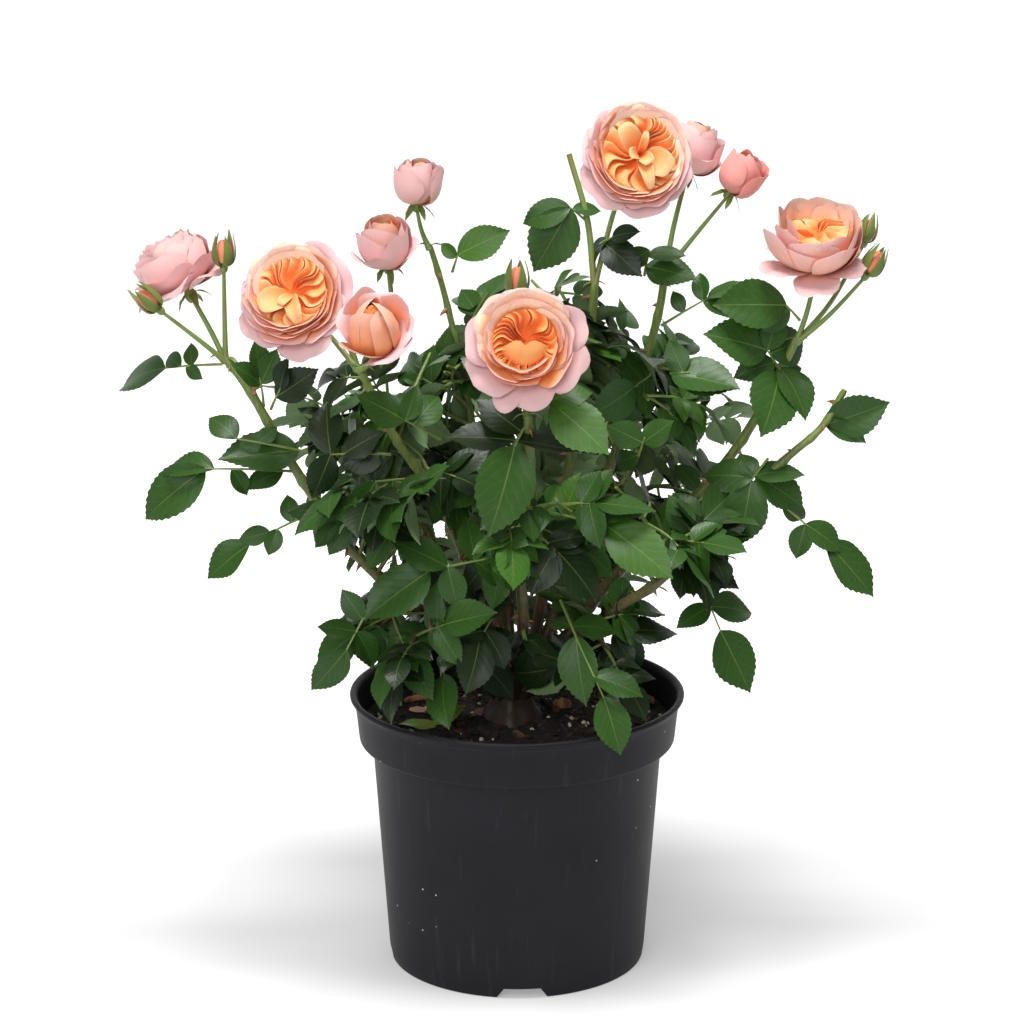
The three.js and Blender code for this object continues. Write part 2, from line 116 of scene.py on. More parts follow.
# Each flower: the middle of its disc, where it faces, its width and how far it has opened.
FLOWERS = {
    "bloom_front": ((6, -122, 478), (0.03, -0.97, 0.24), 86, "open"),
    "bloom_left": ((-148, -72, 500), (-0.14, -0.9, 0.42), 84, "open"),
    "bloom_top": ((81, -32, 590), (0.12, -0.93, 0.34), 84, "open"),
    "bloom_right": ((208, -4, 530), (0.02, -0.26, 0.97), 74, "cupped"),
    "bloom_far_left": ((-238, -8, 514), (-0.46, 0.1, 0.88), 72, "cupped"),
    "bloom_half_low": ((-96, -98, 487), (-0.05, -0.66, 0.75), 54, "half"),
    "bloom_half_high": ((-92, 10, 524), (-0.1, -0.25, 0.96), 44, "half"),
    "bloom_half_back": ((124, 34, 586), (0.28, 0.1, 0.95), 44, "half"),
    "bud_opening_left": ((-70, 60, 557), (0.05, -0.1, 0.99), 35, "opening"),
    "bud_opening_right": ((157, 20, 569), (0.58, -0.1, 0.81), 33, "opening"),
    "bud_left_high": ((-201, -32, 525), (0.02, -0.1, 0.99), 18, "bud"),
    "bud_left_low": ((-252, -42, 494), (-0.72, -0.1, 0.68), 18, "bud"),
    "bud_front": ((0, -62, 512), (0.1, -0.1, 0.99), 19, "bud"),
    "bud_right": ((247, -4, 512), (0.5, -0.1, 0.86), 18, "bud"),
    "bud_right_back": ((246, 32, 528), (0.3, 0.2, 0.93), 16, "bud"),
}
# How far each kind of flower reaches below and above its middle, as shares of half its width.
REACH = {
    "open": (-0.66, 0.26),
    "cupped": (-0.86, 0.52),
    "half": (-1.06, 0.86),
    "opening": (-1.2, 0.96),
    "bud": (-1.5, 1.5),
}
# Each truss: the fork that its stalks leave, its flowers, and where a stub without a flower ends.
TRUSSES = {
    "truss_left": ((-202, -24, 450), ("bloom_far_left", "bud_left_high", "bud_left_low"), None),
    "truss_front_left": ((-108, -62, 452), ("bloom_left", "bloom_half_low"), None),
    "stalk_upper_left": ((-86, 4, 462), ("bloom_half_high",), None),
    "stalk_inner_left": ((-62, 60, 512), ("bud_opening_left",), None),
    "stalk_front": ((7, -100, 428), ("bloom_front", "bud_front"), None),
    "truss_top": ((54, 12, 495), ("bloom_top",), (36, 24, 584)),
    "truss_inner_right": ((104, 20, 504), ("bloom_half_back", "bud_opening_right"), None),
    "truss_right": ((195, 0, 458), ("bloom_right", "bud_right", "bud_right_back"), None),
}
STALK_FOOT_RADIUS = 2.1
STALK_TIP_RADIUS = 1.6
BUD_STALK_TIP_RADIUS = 1.2
STUB_RADII = (2.4, 2.0)
TWIG_RADII = (1.9, 1.1)
RACHIS_RADII = (1.15, 0.6)
STALK_SEAT = 3
PATH_STEP = 3.0

# Each mass of leaves: its middle, half its size, and the piece that its leaves are joined into.
CROWN = {
    "leaves_front": ((4, -84, 362), (56, 44, 52), "foliage_front"),
    "leaves_front_left": ((-84, -62, 366), (50, 44, 56), "foliage_front"),
    "leaves_front_right": ((88, -64, 356), (54, 44, 60), "foliage_front"),
    "leaves_low_left": ((-66, -62, 264), (54, 46, 40), "foliage_low"),
    "leaves_low_right": ((48, -70, 262), (56, 44, 42), "foliage_low"),
    "leaves_low_back": ((0, 80, 262), (88, 50, 44), "foliage_low"),
    "leaves_upper_left": ((-82, 6, 430), (50, 52, 48), "foliage_upper"),
    "leaves_upper_middle": ((4, 24, 458), (48, 54, 58), "foliage_upper"),
    "leaves_upper_right": ((94, 2, 446), (56, 52, 52), "foliage_upper"),
    "leaves_back_left": ((-90, 90, 358), (64, 62, 76), "foliage_back"),
    "leaves_back": ((-2, 124, 378), (56, 58, 84), "foliage_back"),
    "leaves_back_right": ((90, 94, 356), (66, 60, 78), "foliage_back"),
}
# Each spray outside the masses: where it leaves its cane, and the tip of its last leaflet.
SPRAYS = {
    "spray_left_high": ((-204, -28, 446), (-289, -8, 412)),
    "spray_left_middle": ((-156, -34, 368), (-262, -50, 344)),
    "spray_left_low": ((-136, -34, 345), (-219, -52, 302)),
    "spray_drop_left": ((-97, -62, 302), (-139, -84, 230)),
    "spray_right_high": ((158, 4, 440), (212, -8, 408)),
    "spray_right_tip": ((215, -20, 404), (258, -8, 415)),
    "spray_right_middle": ((177, -30, 351), (253, -24, 280)),
    "spray_right_low": ((116, -36, 310), (163, -56, 224)),
    "spray_over_rim": ((30, -70, 288), (72, -120, 198)),
    "spray_back_left": ((-128, 104, 374), (-198, 150, 398)),
    "spray_back_right": ((126, 108, 362), (196, 152, 374)),
}

# Only these are grown by rule; the placed leaves stand for the others.
GROWN_SPRAYS = ("spray_right_high", "spray_back_left", "spray_back_right")

# The leaflets of a whole leaf.
PINNATE = [(0.45, 80, 26), (0.45, -80, 26), (0.85, 55, 33), (0.85, -55, 33), (1, 0, 42)]
# Leaves with a place of their own: the base of the petiole, the end of the rachis, the tint, and the
# leaflets as (share along the rachis, bearing from it in degrees, length).
# Tint 0 is the dark green that is painted shade, 1 the plain green and 2 the young green.
PLACED_LEAVES = {
    "left_high": (
        (-204, -28, 446), (-245, -14, 440), 1,
        [(0.5, -80, 18), (0.6, 140, 16), (0.7, -35, 22), (1, 2, 54)],
    ),
    "left_shoot": ((-176, -28, 416), (-178, -34, 438), 1, [(0.8, 35, 27), (0.8, -35, 27), (1, -10, 27)]),
    "left_under": ((-171, -28, 414), (-163, -38, 432), 0, [(0.6, -25, 38), (0.9, 15, 26)]),
    "left_middle": (
        (-157, -34, 371), (-216, -46, 376), 1,
        [(0.1, 20, 30), (0.7, 125, 23), (0.9, -10, 43), (1, 35, 60)],
    ),
    "left_upper": ((-147, -34, 385), (-194, -44, 397), 1, [(0.1, 15, 57), (0.7, -130, 18), (1, -40, 30)]),
    "left_low": (
        (-138, -34, 343), (-186, -50, 323), 1,
        [(0.4, -105, 22), (0.6, 45, 20), (0.7, -20, 24), (1, 5, 40)],
    ),
    "left_inner": (
        (-87, -60, 390), (-128, -64, 391), 0,
        [(0.2, 80, 20), (0.1, 10, 32), (0.8, -150, 32), (1, -80, 43), (1, 70, 34)],
    ),
    "left_inner_low": ((-60, -66, 375), (-97, -80, 376), 1, [(0.2, 150, 24), (0.7, 85, 33), (1, 55, 36)]),
    "left_heart": ((-53, -66, 402), (-76, -84, 420), 1, [(0.8, -105, 32), (1, -80, 26), (1, -5, 38)]),
    "front_drop": ((4, -98, 417), (-2, -112, 409), 1, [(1, 15, 65)]),
    "front_shoulder": ((9, -96, 423), (-1, -104, 411), 0, [(1, 115, 46), (1, -65, 48), (0.6, -95, 39)]),
    "front_left": (
        (-2, -66, 321), (-60, -92, 316), 1,
        [(0.5, -95, 33), (0.5, 140, 30), (0.8, -40, 44), (0.8, 90, 31), (1, 20, 56)],
    ),
    "front_right": (
        (21, -74, 353), (61, -96, 349), 2,
        [(0.3, 180, 27), (0.3, 90, 33), (0.7, -105, 28), (0.7, 40, 45), (1, -20, 59)],
    ),
    "front_fold": ((9, -96, 439), (25, -104, 436), 2, [(0.9, -20, 54), (0.7, 40, 33)]),
    "side_right_low": ((96, 0, 311), (114, 34, 320), 0, PINNATE),
    "side_right_high": ((76, 21, 390), (110, 34, 396), 1, PINNATE),
    "side_right_outer": ((121, 0, 337), (134, 32, 350), 1, PINNATE),
    "side_left_low": ((-110, -30, 308), (-104, 6, 312), 0, PINNATE),
    "side_left_outer": ((-138, -30, 348), (-134, 6, 352), 1, PINNATE),
    "right_inner": ((82, -60, 386), (87, -72, 405), 1, [(0.8, -30, 28), (0.8, 75, 28), (0.3, 140, 28)]),
    "right_truss": ((197, 0, 471), (187, -6, 483), 1, [(1, 40, 55), (0.8, 85, 26)]),
    "right_truss_low": (
        (101, 10, 465), (133, 4, 486), 1,
        [(0.5, 90, 18), (0.9, -50, 30), (1, -5, 29), (0.9, 70, 22)],
    ),
    "right_high": (
        (182, -2, 438), (174, -10, 452), 1,
        [(0.3, 60, 32), (1, -55, 34), (0.8, -115, 42), (1, 30, 51)],
    ),
    "right_drop": ((183, -4, 439), (182, -12, 435), 1, [(0.8, 0, 56), (0.2, 40, 44)]),
    "right_tip": ((216, -22, 408), (215, -20, 401), 1, [(1, 125, 48), (1, 90, 34), (0.1, 110, 24)]),
    "right_middle": (
        (175, -26, 378), (163, -36, 365), 1,
        [(0.8, 140, 36), (0.8, 100, 43), (0.9, -65, 38), (0.9, -125, 26), (1, 25, 50)],
    ),
    "right_wide": ((106, -30, 440), (119, -36, 442), 1, [(0.1, -10, 51), (0.4, -10, 46), (0.7, 115, 26)]),
    "right_far": (
        (177, -30, 353), (217, -30, 318), 1,
        [(0.2, 10, 24), (0.6, -65, 26), (0.6, 10, 34), (1, -5, 53)],
    ),
    "right_low": (
        (116, -36, 313), (142, -54, 261), 1,
        [(0.5, 115, 30), (0.5, -150, 25), (0.7, 65, 38), (0.7, -90, 29), (1, 5, 50)],
    ),
    "right_hang": ((108, -34, 327), (113, -44, 331), 0, [(0.8, -70, 34), (0.1, -150, 26)]),
    "drop_left": (
        (-97, -62, 293), (-118, -82, 256), 1,
        [(0.5, -115, 26), (0.7, -75, 28), (0.7, 65, 31), (1, -10, 39)],
    ),
    "low_centre": (
        (-12, -50, 282), (-26, -84, 264), 0,
        [(0.8, -45, 29), (0.8, 70, 32), (0.5, -85, 22), (1, 20, 40)],
    ),
    "over_rim": (
        (30, -66, 287), (59, -116, 233), 1,
        [(0.3, -150, 25), (0.3, 75, 32), (0.4, -20, 49), (0.8, 50, 37), (1, -5, 42)],
    ),
    "top_left": ((51, 20, 535), (37, 14, 548), 1, [(1, 50, 37), (0.9, -140, 22), (1, 100, 53)]),
    "top_far": ((-46, 50, 495), (-42, 46, 508), 2, [(1, -40, 42), (0.9, 75, 16)]),
    "top_under": ((58, 14, 522), (66, 4, 529), 0, [(0.3, -50, 40), (1, -5, 24), (0.6, -170, 26)]),
    "top_right": ((89, 14, 500), (92, 4, 520), 1, [(0.8, -60, 27), (1, 140, 23), (0.4, -75, 39)]),
}
# The petals of the blooms that show theirs. Shift moves the heart off the middle, and pleats are the values
# that add_pleats takes, both in shares of half the bloom's width. Each petal has its bearing in degrees as
# one who faces the bloom sees it, then in hundredths of half the bloom's width the reach and the height of
# its rim, half its width and, where it has one, the depth of its notch.
OWN_PETALS = {
    "bloom_front": {
        "shift": (-0.02, 0.12),
        "pleats": (0.5, 27, -0.15, 0.13, 0.13, 0.55),
        "halo": [(62, 86, 0, 42), (100, 84, 0, 42), (140, 86, 0, 44)],
        "guard": [
            (177, 93, -4, 44), (220, 104, -12, 46), (251, 112, -16, 26), (279, 109, -14, 38),
            (-31, 105, -10, 48, 4), (17, 100, -4, 40, 3),
        ],
        "slope": [
            (150, 78, 4, 44), (100, 76, 6, 50), (58, 78, 6, 46), (20, 74, 6, 40), (176, 74, 4, 40),
            (75, 64, 7, 42), (122, 64, 7, 42), (30, 62, 8, 38), (165, 62, 8, 38),
        ],
        "wall": [(-8, 70, 6, 40)],
        "cup": [
            (256, 69, 4, 40), (321, 76, 5, 40), (223, 67, 8, 44), (-4, 64, 10, 36), (190, 60, 9, 36),
            (292, 57, 10, 42), (208, 53, 11, 36), (312, 52, 11, 42), (248, 48, 12, 36), (10, 56, 10, 30),
            (282, 44, 13, 34),
        ],
        "shell": [(-124, 42, 13, 34), (-56, 42, 14, 34)],
        "under": [
            (40, 80, -20, 60), (80, 82, -21, 60), (120, 80, -20, 60), (155, 80, -21, 56), (0, 80, -20, 60),
        ],
    },
    "bloom_left": {
        "shift": (-0.15, 0.18),
        "pleats": (0.58, 18, -0.17, 0.15, 0.13, 0.95),
        "halo": [(85, 80, 0, 46), (122, 78, 0, 48)],
        "guard": [
            (50, 95, -4, 42), (160, 78, -5, 46), (196, 86, -10, 42), (234, 102, -16, 50, 3),
            (-72, 117, -20, 50, 5), (14, 102, -8, 50), (-30, 98, -10, 44),
        ],
        "slope": [
            (45, 78, 4, 46), (90, 72, 6, 46), (135, 70, 6, 46), (172, 70, 5, 42), (110, 62, 8, 42),
            (62, 64, 8, 40), (154, 60, 8, 38),
        ],
        "wall": [(-98, 88, -4, 48), (-42, 90, -2, 50), (-6, 86, 2, 50), (205, 74, 4, 46), (-130, 80, 0, 46)],
        "cup": [
            (-22, 77, 6, 52), (-82, 77, 4, 52), (-140, 73, 6, 50), (26, 72, 7, 44), (-52, 71, 8, 50),
            (-112, 69, 8, 48), (-4, 69, 9, 46), (200, 64, 10, 42), (-74, 64, 10, 46), (-34, 64, 10, 42),
            (-120, 62, 10, 40),
        ],
        "tongue": [(-86, 58, 8, 16)],
        "spoon": [(214, 56, 10, 24, 3), (246, 30, 10, 10)],
        "under": [
            (32, 78, -21, 60), (76, 76, -20, 60), (112, 74, -21, 60), (150, 76, -20, 58), (0, 80, -20, 60),
        ],
    },
    "bloom_top": {
        "shift": (0.08, 0.1),
        "pleats": (0.62, 21, -0.17, 0.15, 0.13, 0.9),
        "halo": [(112, 87, 0, 36, 5), (84, 86, 0, 34), (56, 85, 0, 38, 4), (25, 84, -4, 42)],
        "guard": [
            (142, 94, -5, 40), (172, 100, -8, 40, 5), (220, 108, -14, 54), (272, 104, -14, 48),
            (-42, 94, -8, 44), (-10, 86, -6, 42),
        ],
        "slope": [
            (10, 78, 4, 44), (50, 78, 5, 44), (90, 78, 5, 44), (130, 80, 5, 44), (70, 70, 7, 40),
            (110, 70, 7, 40), (28, 70, 7, 40), (-12, 70, 6, 40),
        ],
        "wall": [(-125, 86, 0, 52), (-80, 86, 0, 50), (-34, 80, 2, 46), (162, 84, 5, 46), (200, 86, 2, 50)],
        "cup": [
            (-140, 76, 6, 50), (-92, 78, 5, 50), (178, 75, 7, 48), (146, 72, 8, 40), (-50, 74, 7, 46),
            (-118, 71, 8, 46), (206, 70, 9, 42), (-76, 70, 8, 42), (170, 68, 9, 42), (-134, 66, 10, 40),
        ],
        "tongue": [(74, 36, 10, 8), (-76, 60, 8, 13)],
        "spoon": [(122, 56, 6, 20), (-32, 56, 10, 26, 3), (188, 22, 14, 12), (-58, 24, 14, 14)],
        "under": [
            (8, 80, -20, 58), (45, 82, -21, 60), (85, 82, -20, 60), (122, 80, -21, 60), (158, 80, -20, 58),
            (-30, 80, -20, 58),
        ],
    },
    "bloom_right": {
        "shift": (0, 0),
        "pleats": (0.6, 14, 0.06, 0.08, 0.14, 0.9),
        "guard": [
            (-92, 98, -72, 46, 5), (206, 116, -50, 44, 10), (150, 102, -40, 44), (-26, 100, -45, 42),
            (40, 96, -35, 44), (96, 95, -30, 44),
        ],
        "bowl": [
            (203, 96, 30, 44), (-58, 80, 8, 62), (-130, 84, 4, 60), (-4, 82, 22, 50), (-104, 74, 24, 60),
            (-24, 76, 34, 46), (206, 76, 36, 46), (-64, 66, 30, 50),
        ],
        "crest": [
            (60, 80, 42, 56), (122, 80, 44, 56), (90, 70, 50, 50), (168, 74, 46, 46), (20, 74, 42, 46),
            (146, 62, 50, 34), (36, 62, 46, 34), (108, 52, 46, 30), (70, 50, 46, 30), (192, 56, 44, 34),
            (-8, 56, 40, 34),
        ],
    },
    "bloom_half_low": {
        "shift": (0, 0),
        "guard": [(-52, 106, -6, 72), (-4, 102, 10, 62), (84, 95, 30, 70), (150, 95, 20, 62)],
        "wall": [(-118, 92, 16, 66), (40, 86, 50, 70), (120, 86, 50, 66)],
        "wrap": [(-100, 66, 80, 90), (30, 66, 82, 86), (150, 66, 82, 86), (-36, 70, 78, 60)],
        "pleats": (0.2, 7, 0.73, -0.03, 0.05, 0.3),
    },
}
# Each way that a petal stands: its line as (share of the reach, share of the height, share of the foot's
# depth), the radius that it is curled to across as a share of the reach, (ruffle, rounding, skew), and the
# cell of its finish. Guards stand outermost; the petals under them close the back of the bloom.
# The slope cell is painted light: its colours are brighter than the petal's own, a painted glow for light
# coming through petals in shade.
GUARD, RING, CUP, HEART, SLOPE_PAINTED_GLOW, YOUNG = range(6)
SPREAD_LINE = ((0.05, 0, 1.0), (0.45, 0, 1.1), (0.74, 1, -0.12), (1, 1, 0))
BOWL_LINE = ((0.05, 0, 1.0), (0.8, 0, 1.15), (1.1, 0.3, 0.2), (1, 1, 0))
STANCES = {
    "guard": (SPREAD_LINE, 1.9, (1.1, 0.22, 0.1), GUARD),
    "halo": (SPREAD_LINE, 1.9, (1.0, 0.22, 0.1), SLOPE_PAINTED_GLOW),
    "wall": (((0.05, 0, 0.8), (0.5, 0, 0.85), (0.84, 0, 0.45), (1, 1, 0)), 1.2, (0.9, 0.16, 0.1), RING),
    "slope": (((0.05, 0, 1.0), (0.5, 0, 1.0), (0.78, 0, 0.25), (1, 1, 0)), 1.3, (0.8, 0.16, 0.1), SLOPE_PAINTED_GLOW),
    "bowl": (BOWL_LINE, 0.95, (0.8, 0.12, 0.12), RING),
    "crest": (BOWL_LINE, 0.95, (0.8, 0.12, 0.12), SLOPE_PAINTED_GLOW),
    "cup": (((0.05, 0, 0.7), (0.66, 0, 0.75), (0.94, 0, 0.35), (1, 1, 0)), 1.05, (0.6, 0.1, 0.08), CUP),
    "shell": (((0.1, 0, 0.7), (1.25, 0, 0.75), (1.15, 1, -0.1), (0.08, 1, 0)), 1.0, (0.4, 0.34, 0.03), HEART),
    "spoon": (((0.04, 0, 0.5), (0.3, 1, 0.3), (0.8, 1, -0.1), (1, 1, 0)), 0.7, (0.8, 0.3, 0.1), HEART),
    "tongue": (((0.04, 0, 0.5), (0.25, 1, 0.1), (0.7, 1, -0.2), (1, 1, 0.1)), 0.3, (1.0, 0.4, 0.2), HEART),
    "wrap": (((0.05, 0, 1.0), (1.05, 0, 1.15), (1.2, 0.5, 0), (0.2, 1, 0)), 0.95, (0.2, 0.2, 0.18), CUP),
    "under": (SPREAD_LINE, 1.9, (1.0, 0.22, 0.1), GUARD),
}


# ---- Colour, nodes and meshes ----------------------------------------------------------------------
def linear(code):
    """An sRGB hex colour as linear red, green and blue."""
    parts = [int(code[i : i + 2], 16) / 255 for i in (1, 3, 5)]
    return tuple(p / 12.92 if p <= 0.04045 else ((p + 0.055) / 1.055) ** 2.4 for p in parts)


def colour(name, code, about):
    """A colour that a user may change."""
    kind = {"subtype": "COLOR", "size": 3, "min": 0, "max": 1}
    return FloatVectorProperty(name=name, description=about, default=linear(code), **kind)


def amount(name, value, about, **limits):
    """A number from nought up that a user may change."""
    return FloatProperty(name=name, description=about, default=value, min=0, **limits)


def seeded(name, more=0):
    """Random draws that belong to a name."""
    return np.random.default_rng(sum(map(ord, name)) + more)


def node(tree, kind, inputs=None, stops=None, **settings):
    """Adds one node to the tree, with its settings, its ramp stops, and a value or a link for each input. A
    node that is given as a value stands for its first output."""
    added = tree.nodes.new(kind)
    for name, value in settings.items():
        setattr(added, name, value)
    if stops:
        elements = added.color_ramp.elements
        while len(elements) < len(stops):
            elements.new(0.5)
        for element, (place, tone) in zip(elements, stops):
            element.position = place
            element.color = (*tone, 1)
    for key, value in (inputs or {}).items():
        socket = added.inputs[key]
        if isinstance(value, bpy.types.Node):
            value = value.outputs[0]
        if isinstance(value, bpy.types.NodeSocket):
            tree.links.new(value, socket)
        elif socket.type == "RGBA" and len(value) == 3:
            socket.default_value = (*value, 1)
        else:
            socket.default_value = value
    return added


def grey(level):
    """A ramp stop's grey."""
    return (level, level, level)


def new_material(name, constants):
    """A material with the constants set on its shader's sockets, as (material, tree, shader)."""
    material = bpy.data.materials.new(name)
    material.use_nodes = True
    tree = material.node_tree
    shader = tree.nodes["Principled BSDF"]
    for socket, value in constants.items():
        shader.inputs[socket].default_value = value
    return material, tree, shader


def bump(tree, shader, height, strength, distance):
    """Joins a height to the shader's normal; distance is in metres."""
    relief = node(tree, "ShaderNodeBump", {"Height": height, "Strength": strength, "Distance": distance})
    tree.links.new(relief.outputs["Normal"], shader.inputs["Normal"])


def mottled(name, scale, detail, stops, roughness):
    """A matte material whose colour drifts between its stops, in clouds of a size that the scale sets."""
    material, tree, shader = new_material(name, {"Roughness": roughness})
    place = node(tree, "ShaderNodeTexCoord").outputs["Object"]
    cloud = node(tree, "ShaderNodeTexNoise", {"Vector": place, "Scale": scale, "Detail": detail})
    tone = node(tree, "ShaderNodeValToRGB", {"Fac": cloud}, stops=stops)
    tree.links.new(tone.outputs["Color"], shader.inputs["Base Color"])
    return material


class Shape:
    """Points, faces, UV corners and slots gathered for one mesh, in millimetres."""

    def __init__(self):
        self.points = []
        self.loops = []
        self.totals = []
        self.uvs = []
        self.slots = []
        self.count = 0

    def add(self, points, loops, totals, uvs, slots):
        """Adds one part: its points, its faces as flat corner lists, and a UV place and slot for each."""
        self.points.append(np.asarray(points, float))
        self.loops.append(np.asarray(loops, int) + self.count)
        self.totals.append(np.asarray(totals, int))
        self.uvs.append(np.asarray(uvs, float))
        self.slots.append(np.broadcast_to(slots, len(totals)))
        self.count += len(points)

    def mesh(self, name, sharp_degrees=48):
        """The gathered parts as a Blender mesh in metres, smooth but for edges sharper than given."""
        mesh = bpy.data.meshes.new(name)
        points = np.concatenate(self.points) * MM
        loops = np.concatenate(self.loops)
        totals = np.concatenate(self.totals)
        mesh.vertices.add(len(points))
        mesh.vertices.foreach_set("co", points.astype(np.float32).ravel())
        mesh.loops.add(len(loops))
        mesh.loops.foreach_set("vertex_index", loops.astype(np.int32))
        mesh.polygons.add(len(totals))
        starts = np.concatenate([[0], np.cumsum(totals)[:-1]])
        mesh.polygons.foreach_set("loop_start", starts.astype(np.int32))
        mesh.polygons.foreach_set("material_index", np.concatenate(self.slots).astype(np.int32))
        mesh.update(calc_edges=True)
        layer = mesh.uv_layers.new(name="OFBake")
        layer.data.foreach_set("uv", np.concatenate(self.uvs).astype(np.float32).ravel())
        mesh.polygons.foreach_set("use_smooth", np.ones(len(totals), bool))
        mesh.set_sharp_from_angle(angle=math.radians(sharp_degrees))
        if mesh.validate():
            raise RuntimeError(f"{name} had faces that Blender can't keep")
        return mesh


def place_piece(name, mesh, materials, nodes=()):
    """Puts a finished mesh into the scene as a piece on the frame."""
    for material in materials:
        mesh.materials.append(material)
    piece = bpy.data.objects.new(name, mesh)
    bpy.context.scene.collection.objects.link(piece)
    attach(piece, "root")
    if nodes:
        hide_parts(*nodes)
    return piece


def unit(vector):
    """The vector at length 1."""
    vector = np.asarray(vector, float)
    return vector / max(np.linalg.norm(vector), 1e-9)


def across(direction, facing):
    """The facing made square to a direction."""
    direction = unit(direction)
    flat = np.asarray(facing, float) - np.dot(facing, direction) * direction
    if np.linalg.norm(flat) < 1e-3:
        flat = np.cross(direction, [0.3, 1.0, 0.2])
    return unit(flat)


def smooth_path(points, step):
    """Points about a step apart along the centripetal Catmull-Rom curve through the given ones."""
    given = np.asarray(points, float)
    ends = np.vstack([2 * given[0] - given[1], given, 2 * given[-1] - given[-2]])
    runs = []
    for a, b, c, d in zip(ends, ends[1:], ends[2:], ends[3:]):
        k1 = math.sqrt(np.linalg.norm(b - a))
        k2 = k1 + math.sqrt(np.linalg.norm(c - b))
        k3 = k2 + math.sqrt(np.linalg.norm(d - c))
        t = np.linspace(k1, k2, max(2, round(np.linalg.norm(c - b) / step)), endpoint=False)[:, None]
        ab = (k1 - t) / k1 * a + t / k1 * b
        bc = (k2 - t) / (k2 - k1) * b + (t - k1) / (k2 - k1) * c
        cd = (k3 - t) / (k3 - k2) * c + (t - k2) / (k3 - k2) * d
        abc = (k2 - t) / k2 * ab + t / k2 * bc
        bcd = (k3 - t) / (k3 - k1) * bc + (t - k1) / (k3 - k1) * cd
        runs.append((k2 - t) / (k2 - k1) * abc + (t - k1) / (k2 - k1) * bcd)
    return np.vstack([*runs, given[-1:]])


def travelled(path):
    """How far along a path each of its points lies."""
    return np.concatenate([[0], np.cumsum(np.linalg.norm(np.diff(path, axis=0), axis=1))])


def sleeve(rings, sides, along, wraps=1):
    """The faces of a capped sleeve, as (loops, totals, uvs). Its two last points are its caps' middles."""
    loops, totals, uvs = [], [], []
    for i in range(rings - 1):
        for j in range(sides):
            k = (j + 1) % sides
            loops += [i * sides + j, i * sides + k, (i + 1) * sides + k, (i + 1) * sides + j]
            near, far = j / sides * wraps, (j + 1) / sides * wraps
            uvs += [(near, along[i]), (far, along[i]), (far, along[i + 1]), (near, along[i + 1])]
            totals.append(4)
    last = (rings - 1) * sides
    for j in range(sides):
        k = (j + 1) % sides
        loops += [k, j, rings * sides, last + j, last + k, rings * sides + 1]
        uvs += [(j / sides * wraps, along[0])] * 3 + [(j / sides * wraps, along[-1])] * 3
        totals += [3, 3]
    return loops, totals, uvs


def tube(shape, path, radii, sides, slot=0, relief=None):
    """A round limb along a path. Relief scales the radius at each ring and side."""
    rings = len(path)
    tangents = np.gradient(path, axis=0)
    turn = across(tangents[0], [0.2, 1.0, 0.1])
    angles = np.arange(sides) * 2 * math.pi / sides
    points = []
    for i in range(rings):
        turn = across(tangents[i], turn)
        other = np.cross(unit(tangents[i]), turn)
        scale = radii[i] * (np.ones(sides) if relief is None else relief[i])
        spokes = np.cos(angles)[:, None] * turn + np.sin(angles)[:, None] * other
        points.append(path[i] + scale[:, None] * spokes)
    points = np.vstack([*points, path[:1], path[-1:]])
    shape.add(points, *sleeve(rings, sides, travelled(path) / UV_UNIT), slot)


def bowed(start, end, rise, direction=UP, step=6):
    """A path from start to end that bows by a rise towards a direction."""
    start = np.asarray(start, float)
    end = np.asarray(end, float)
    middle = (start + end) / 2 + rise * unit(direction)
    return smooth_path([start, middle, end], step)


# ---- Pot and compost -------------------------------------------------------------------------------
def wall_radius(z):
    """The pot's outside radius at a height below its band."""
    share = (z - SKIRT_HEIGHT) / (BAND_FOOT - SKIRT_HEIGHT)
    return FOOT_RADIUS + 1 + share * (WALL_TOP_RADIUS - FOOT_RADIUS - 1)


def arc(centre, radius, start, end, count):
    """Points of a round corner in a profile; the angles are in degrees."""
    turns = [math.radians(start + (end - start) * i / count) for i in range(count + 1)]
    return [(centre[0] + radius * math.cos(turn), centre[1] + radius * math.sin(turn)) for turn in turns]


def turned(shape, profile, segments):
    """A closed solid turned about Z from a profile that starts and ends on the axis."""
    ring = profile[1:-1]
    angles = np.arange(segments) * 2 * math.pi / segments
    points = [(r * math.cos(a), r * math.sin(a), z) for r, z in ring for a in angles]
    points += [(0, 0, profile[0][1]), (0, 0, profile[-1][1])]
    shape.add(points, *sleeve(len(ring), segments, travelled(ring) / UV_UNIT, wraps=7), 0)


